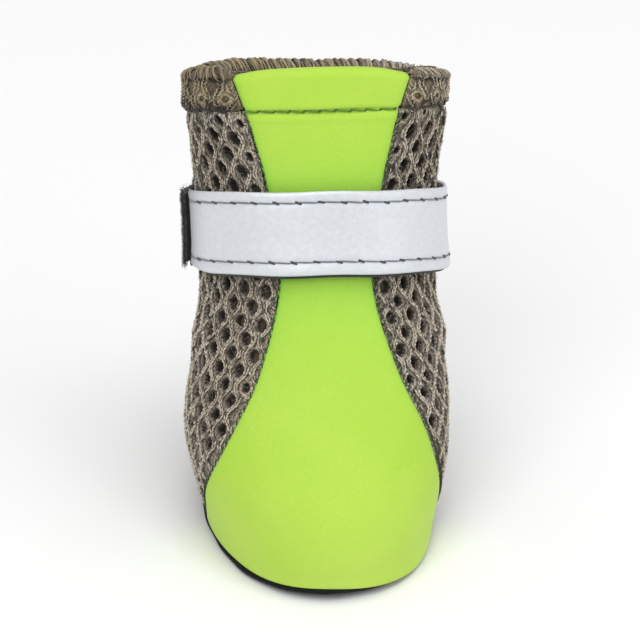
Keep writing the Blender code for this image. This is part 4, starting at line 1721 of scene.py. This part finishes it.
CAMERA_AZIMUTH = -7.0
CAMERA_ELEVATION = 31.0
CAMERA_ROLL = 2.2
CAMERA_AWAY = 2.6
CAMERA_LENS = 792.0
CAMERA_AIM = (-0.0006, 0.0030, 0.0400)
Light = namedtuple("Light", "name place size power")
LIGHTS = (
    Light("key", (-0.45, -0.75, 0.95), 0.7, 4.2),
    Light("fill", (0.75, -0.5, 0.5), 0.8, 1.8),
    Light("top", (0.05, -0.1, 1.2), 0.7, 5.0),
)
LIGHT_AIM = (0, 0, 0.04)
BACKGROUND_STRENGTH = 0.56
FLOOR_HALF = 3.0


def area_light(light):
    lamp = bpy.data.lights.new(light.name, "AREA")
    lamp.size = light.size
    lamp.energy = light.power
    lamp_object = bpy.data.objects.new(light.name, lamp)
    lamp_object.location = light.place
    turn = (Vector(LIGHT_AIM) - Vector(light.place)).to_track_quat("-Z", "Y")
    lamp_object.rotation_euler = turn.to_euler()
    bpy.context.scene.collection.objects.link(lamp_object)


class DOGBOOT_OT_stage(bpy.types.Operator):
    """Lay the floor, light it softly and set the camera"""

    bl_idname = "dogboot.stage"
    bl_label = "Stage"

    def execute(self, context):
        scene = context.scene
        floor_finish = Finish("floor", scene.dog_boot_colours.floor, 0.9)
        mesh = bpy.data.meshes.new("floor")
        half = FLOOR_HALF
        corners = [(-half, -half, 0), (half, -half, 0), (half, half, 0), (-half, half, 0)]
        mesh.from_pydata(corners, [], [(0, 1, 2, 3)])
        floor = bpy.data.objects.new("floor", mesh)
        floor.data.materials.append(floor_finish.material)
        scene.collection.objects.link(floor)

        world = bpy.data.worlds.new("studio")
        world.use_nodes = True
        background = world.node_tree.nodes["Background"]
        background.inputs["Color"].default_value = (1.0, 1.0, 1.0, 1.0)
        background.inputs["Strength"].default_value = BACKGROUND_STRENGTH
        scene.world = world
        for light in LIGHTS:
            area_light(light)
        scene.view_settings.view_transform = "Standard"

        azimuth, elevation = math.radians(CAMERA_AZIMUTH), math.radians(CAMERA_ELEVATION)
        away = Vector((
            math.sin(azimuth) * math.cos(elevation),
            -math.cos(azimuth) * math.cos(elevation),
            math.sin(elevation),
        ))
        camera = bpy.data.objects.new("camera", bpy.data.cameras.new("camera"))
        camera.data.lens = CAMERA_LENS
        camera.data.clip_start = 0.01
        camera.location = Vector(CAMERA_AIM) + away * CAMERA_AWAY
        roll = Matrix.Rotation(math.radians(CAMERA_ROLL), 3, "Z")
        camera.rotation_euler = ((-away).to_track_quat("-Z", "Y").to_matrix() @ roll).to_euler()
        scene.collection.objects.link(camera)
        scene.camera = camera
        return {"FINISHED"}


class DOGBOOT_PT_tools(bpy.types.Panel):
    """Sizes, colours and building steps of the boot"""

    bl_idname = "DOGBOOT_PT_tools"
    bl_label = "Dog Boot"
    bl_space_type = "VIEW_3D"
    bl_region_type = "UI"
    bl_category = "Dog Boot"

    def draw(self, context):
        layout = self.layout
        for group in (context.scene.dog_boot_sizes, context.scene.dog_boot_colours):
            box = layout.box()
            for name in group.__annotations__:
                box.prop(group, name)
        for operator in OPERATORS:
            layout.operator(operator.bl_idname)


OPERATORS = (
    DOGBOOT_OT_knit,
    DOGBOOT_OT_panel,
    DOGBOOT_OT_stitching,
    DOGBOOT_OT_strap,
    DOGBOOT_OT_sole,
    DOGBOOT_OT_stage,
)
CLASSES = (DogBootSizes, DogBootColours, *OPERATORS, DOGBOOT_PT_tools)


def register():
    for item in CLASSES:
        bpy.utils.register_class(item)
    bpy.types.Scene.dog_boot_sizes = bpy.props.PointerProperty(type=DogBootSizes)
    bpy.types.Scene.dog_boot_colours = bpy.props.PointerProperty(type=DogBootColours)


def unregister():
    del bpy.types.Scene.dog_boot_colours
    del bpy.types.Scene.dog_boot_sizes
    for item in reversed(CLASSES):
        bpy.utils.unregister_class(item)


def main():
    register()
    for step in (
        bpy.ops.dogboot.knit,
        bpy.ops.dogboot.panel,
        bpy.ops.dogboot.stitching,
        bpy.ops.dogboot.strap,
        bpy.ops.dogboot.sole,
        bpy.ops.dogboot.stage,
    ):
        step()


if __name__ == "__main__":
    main()
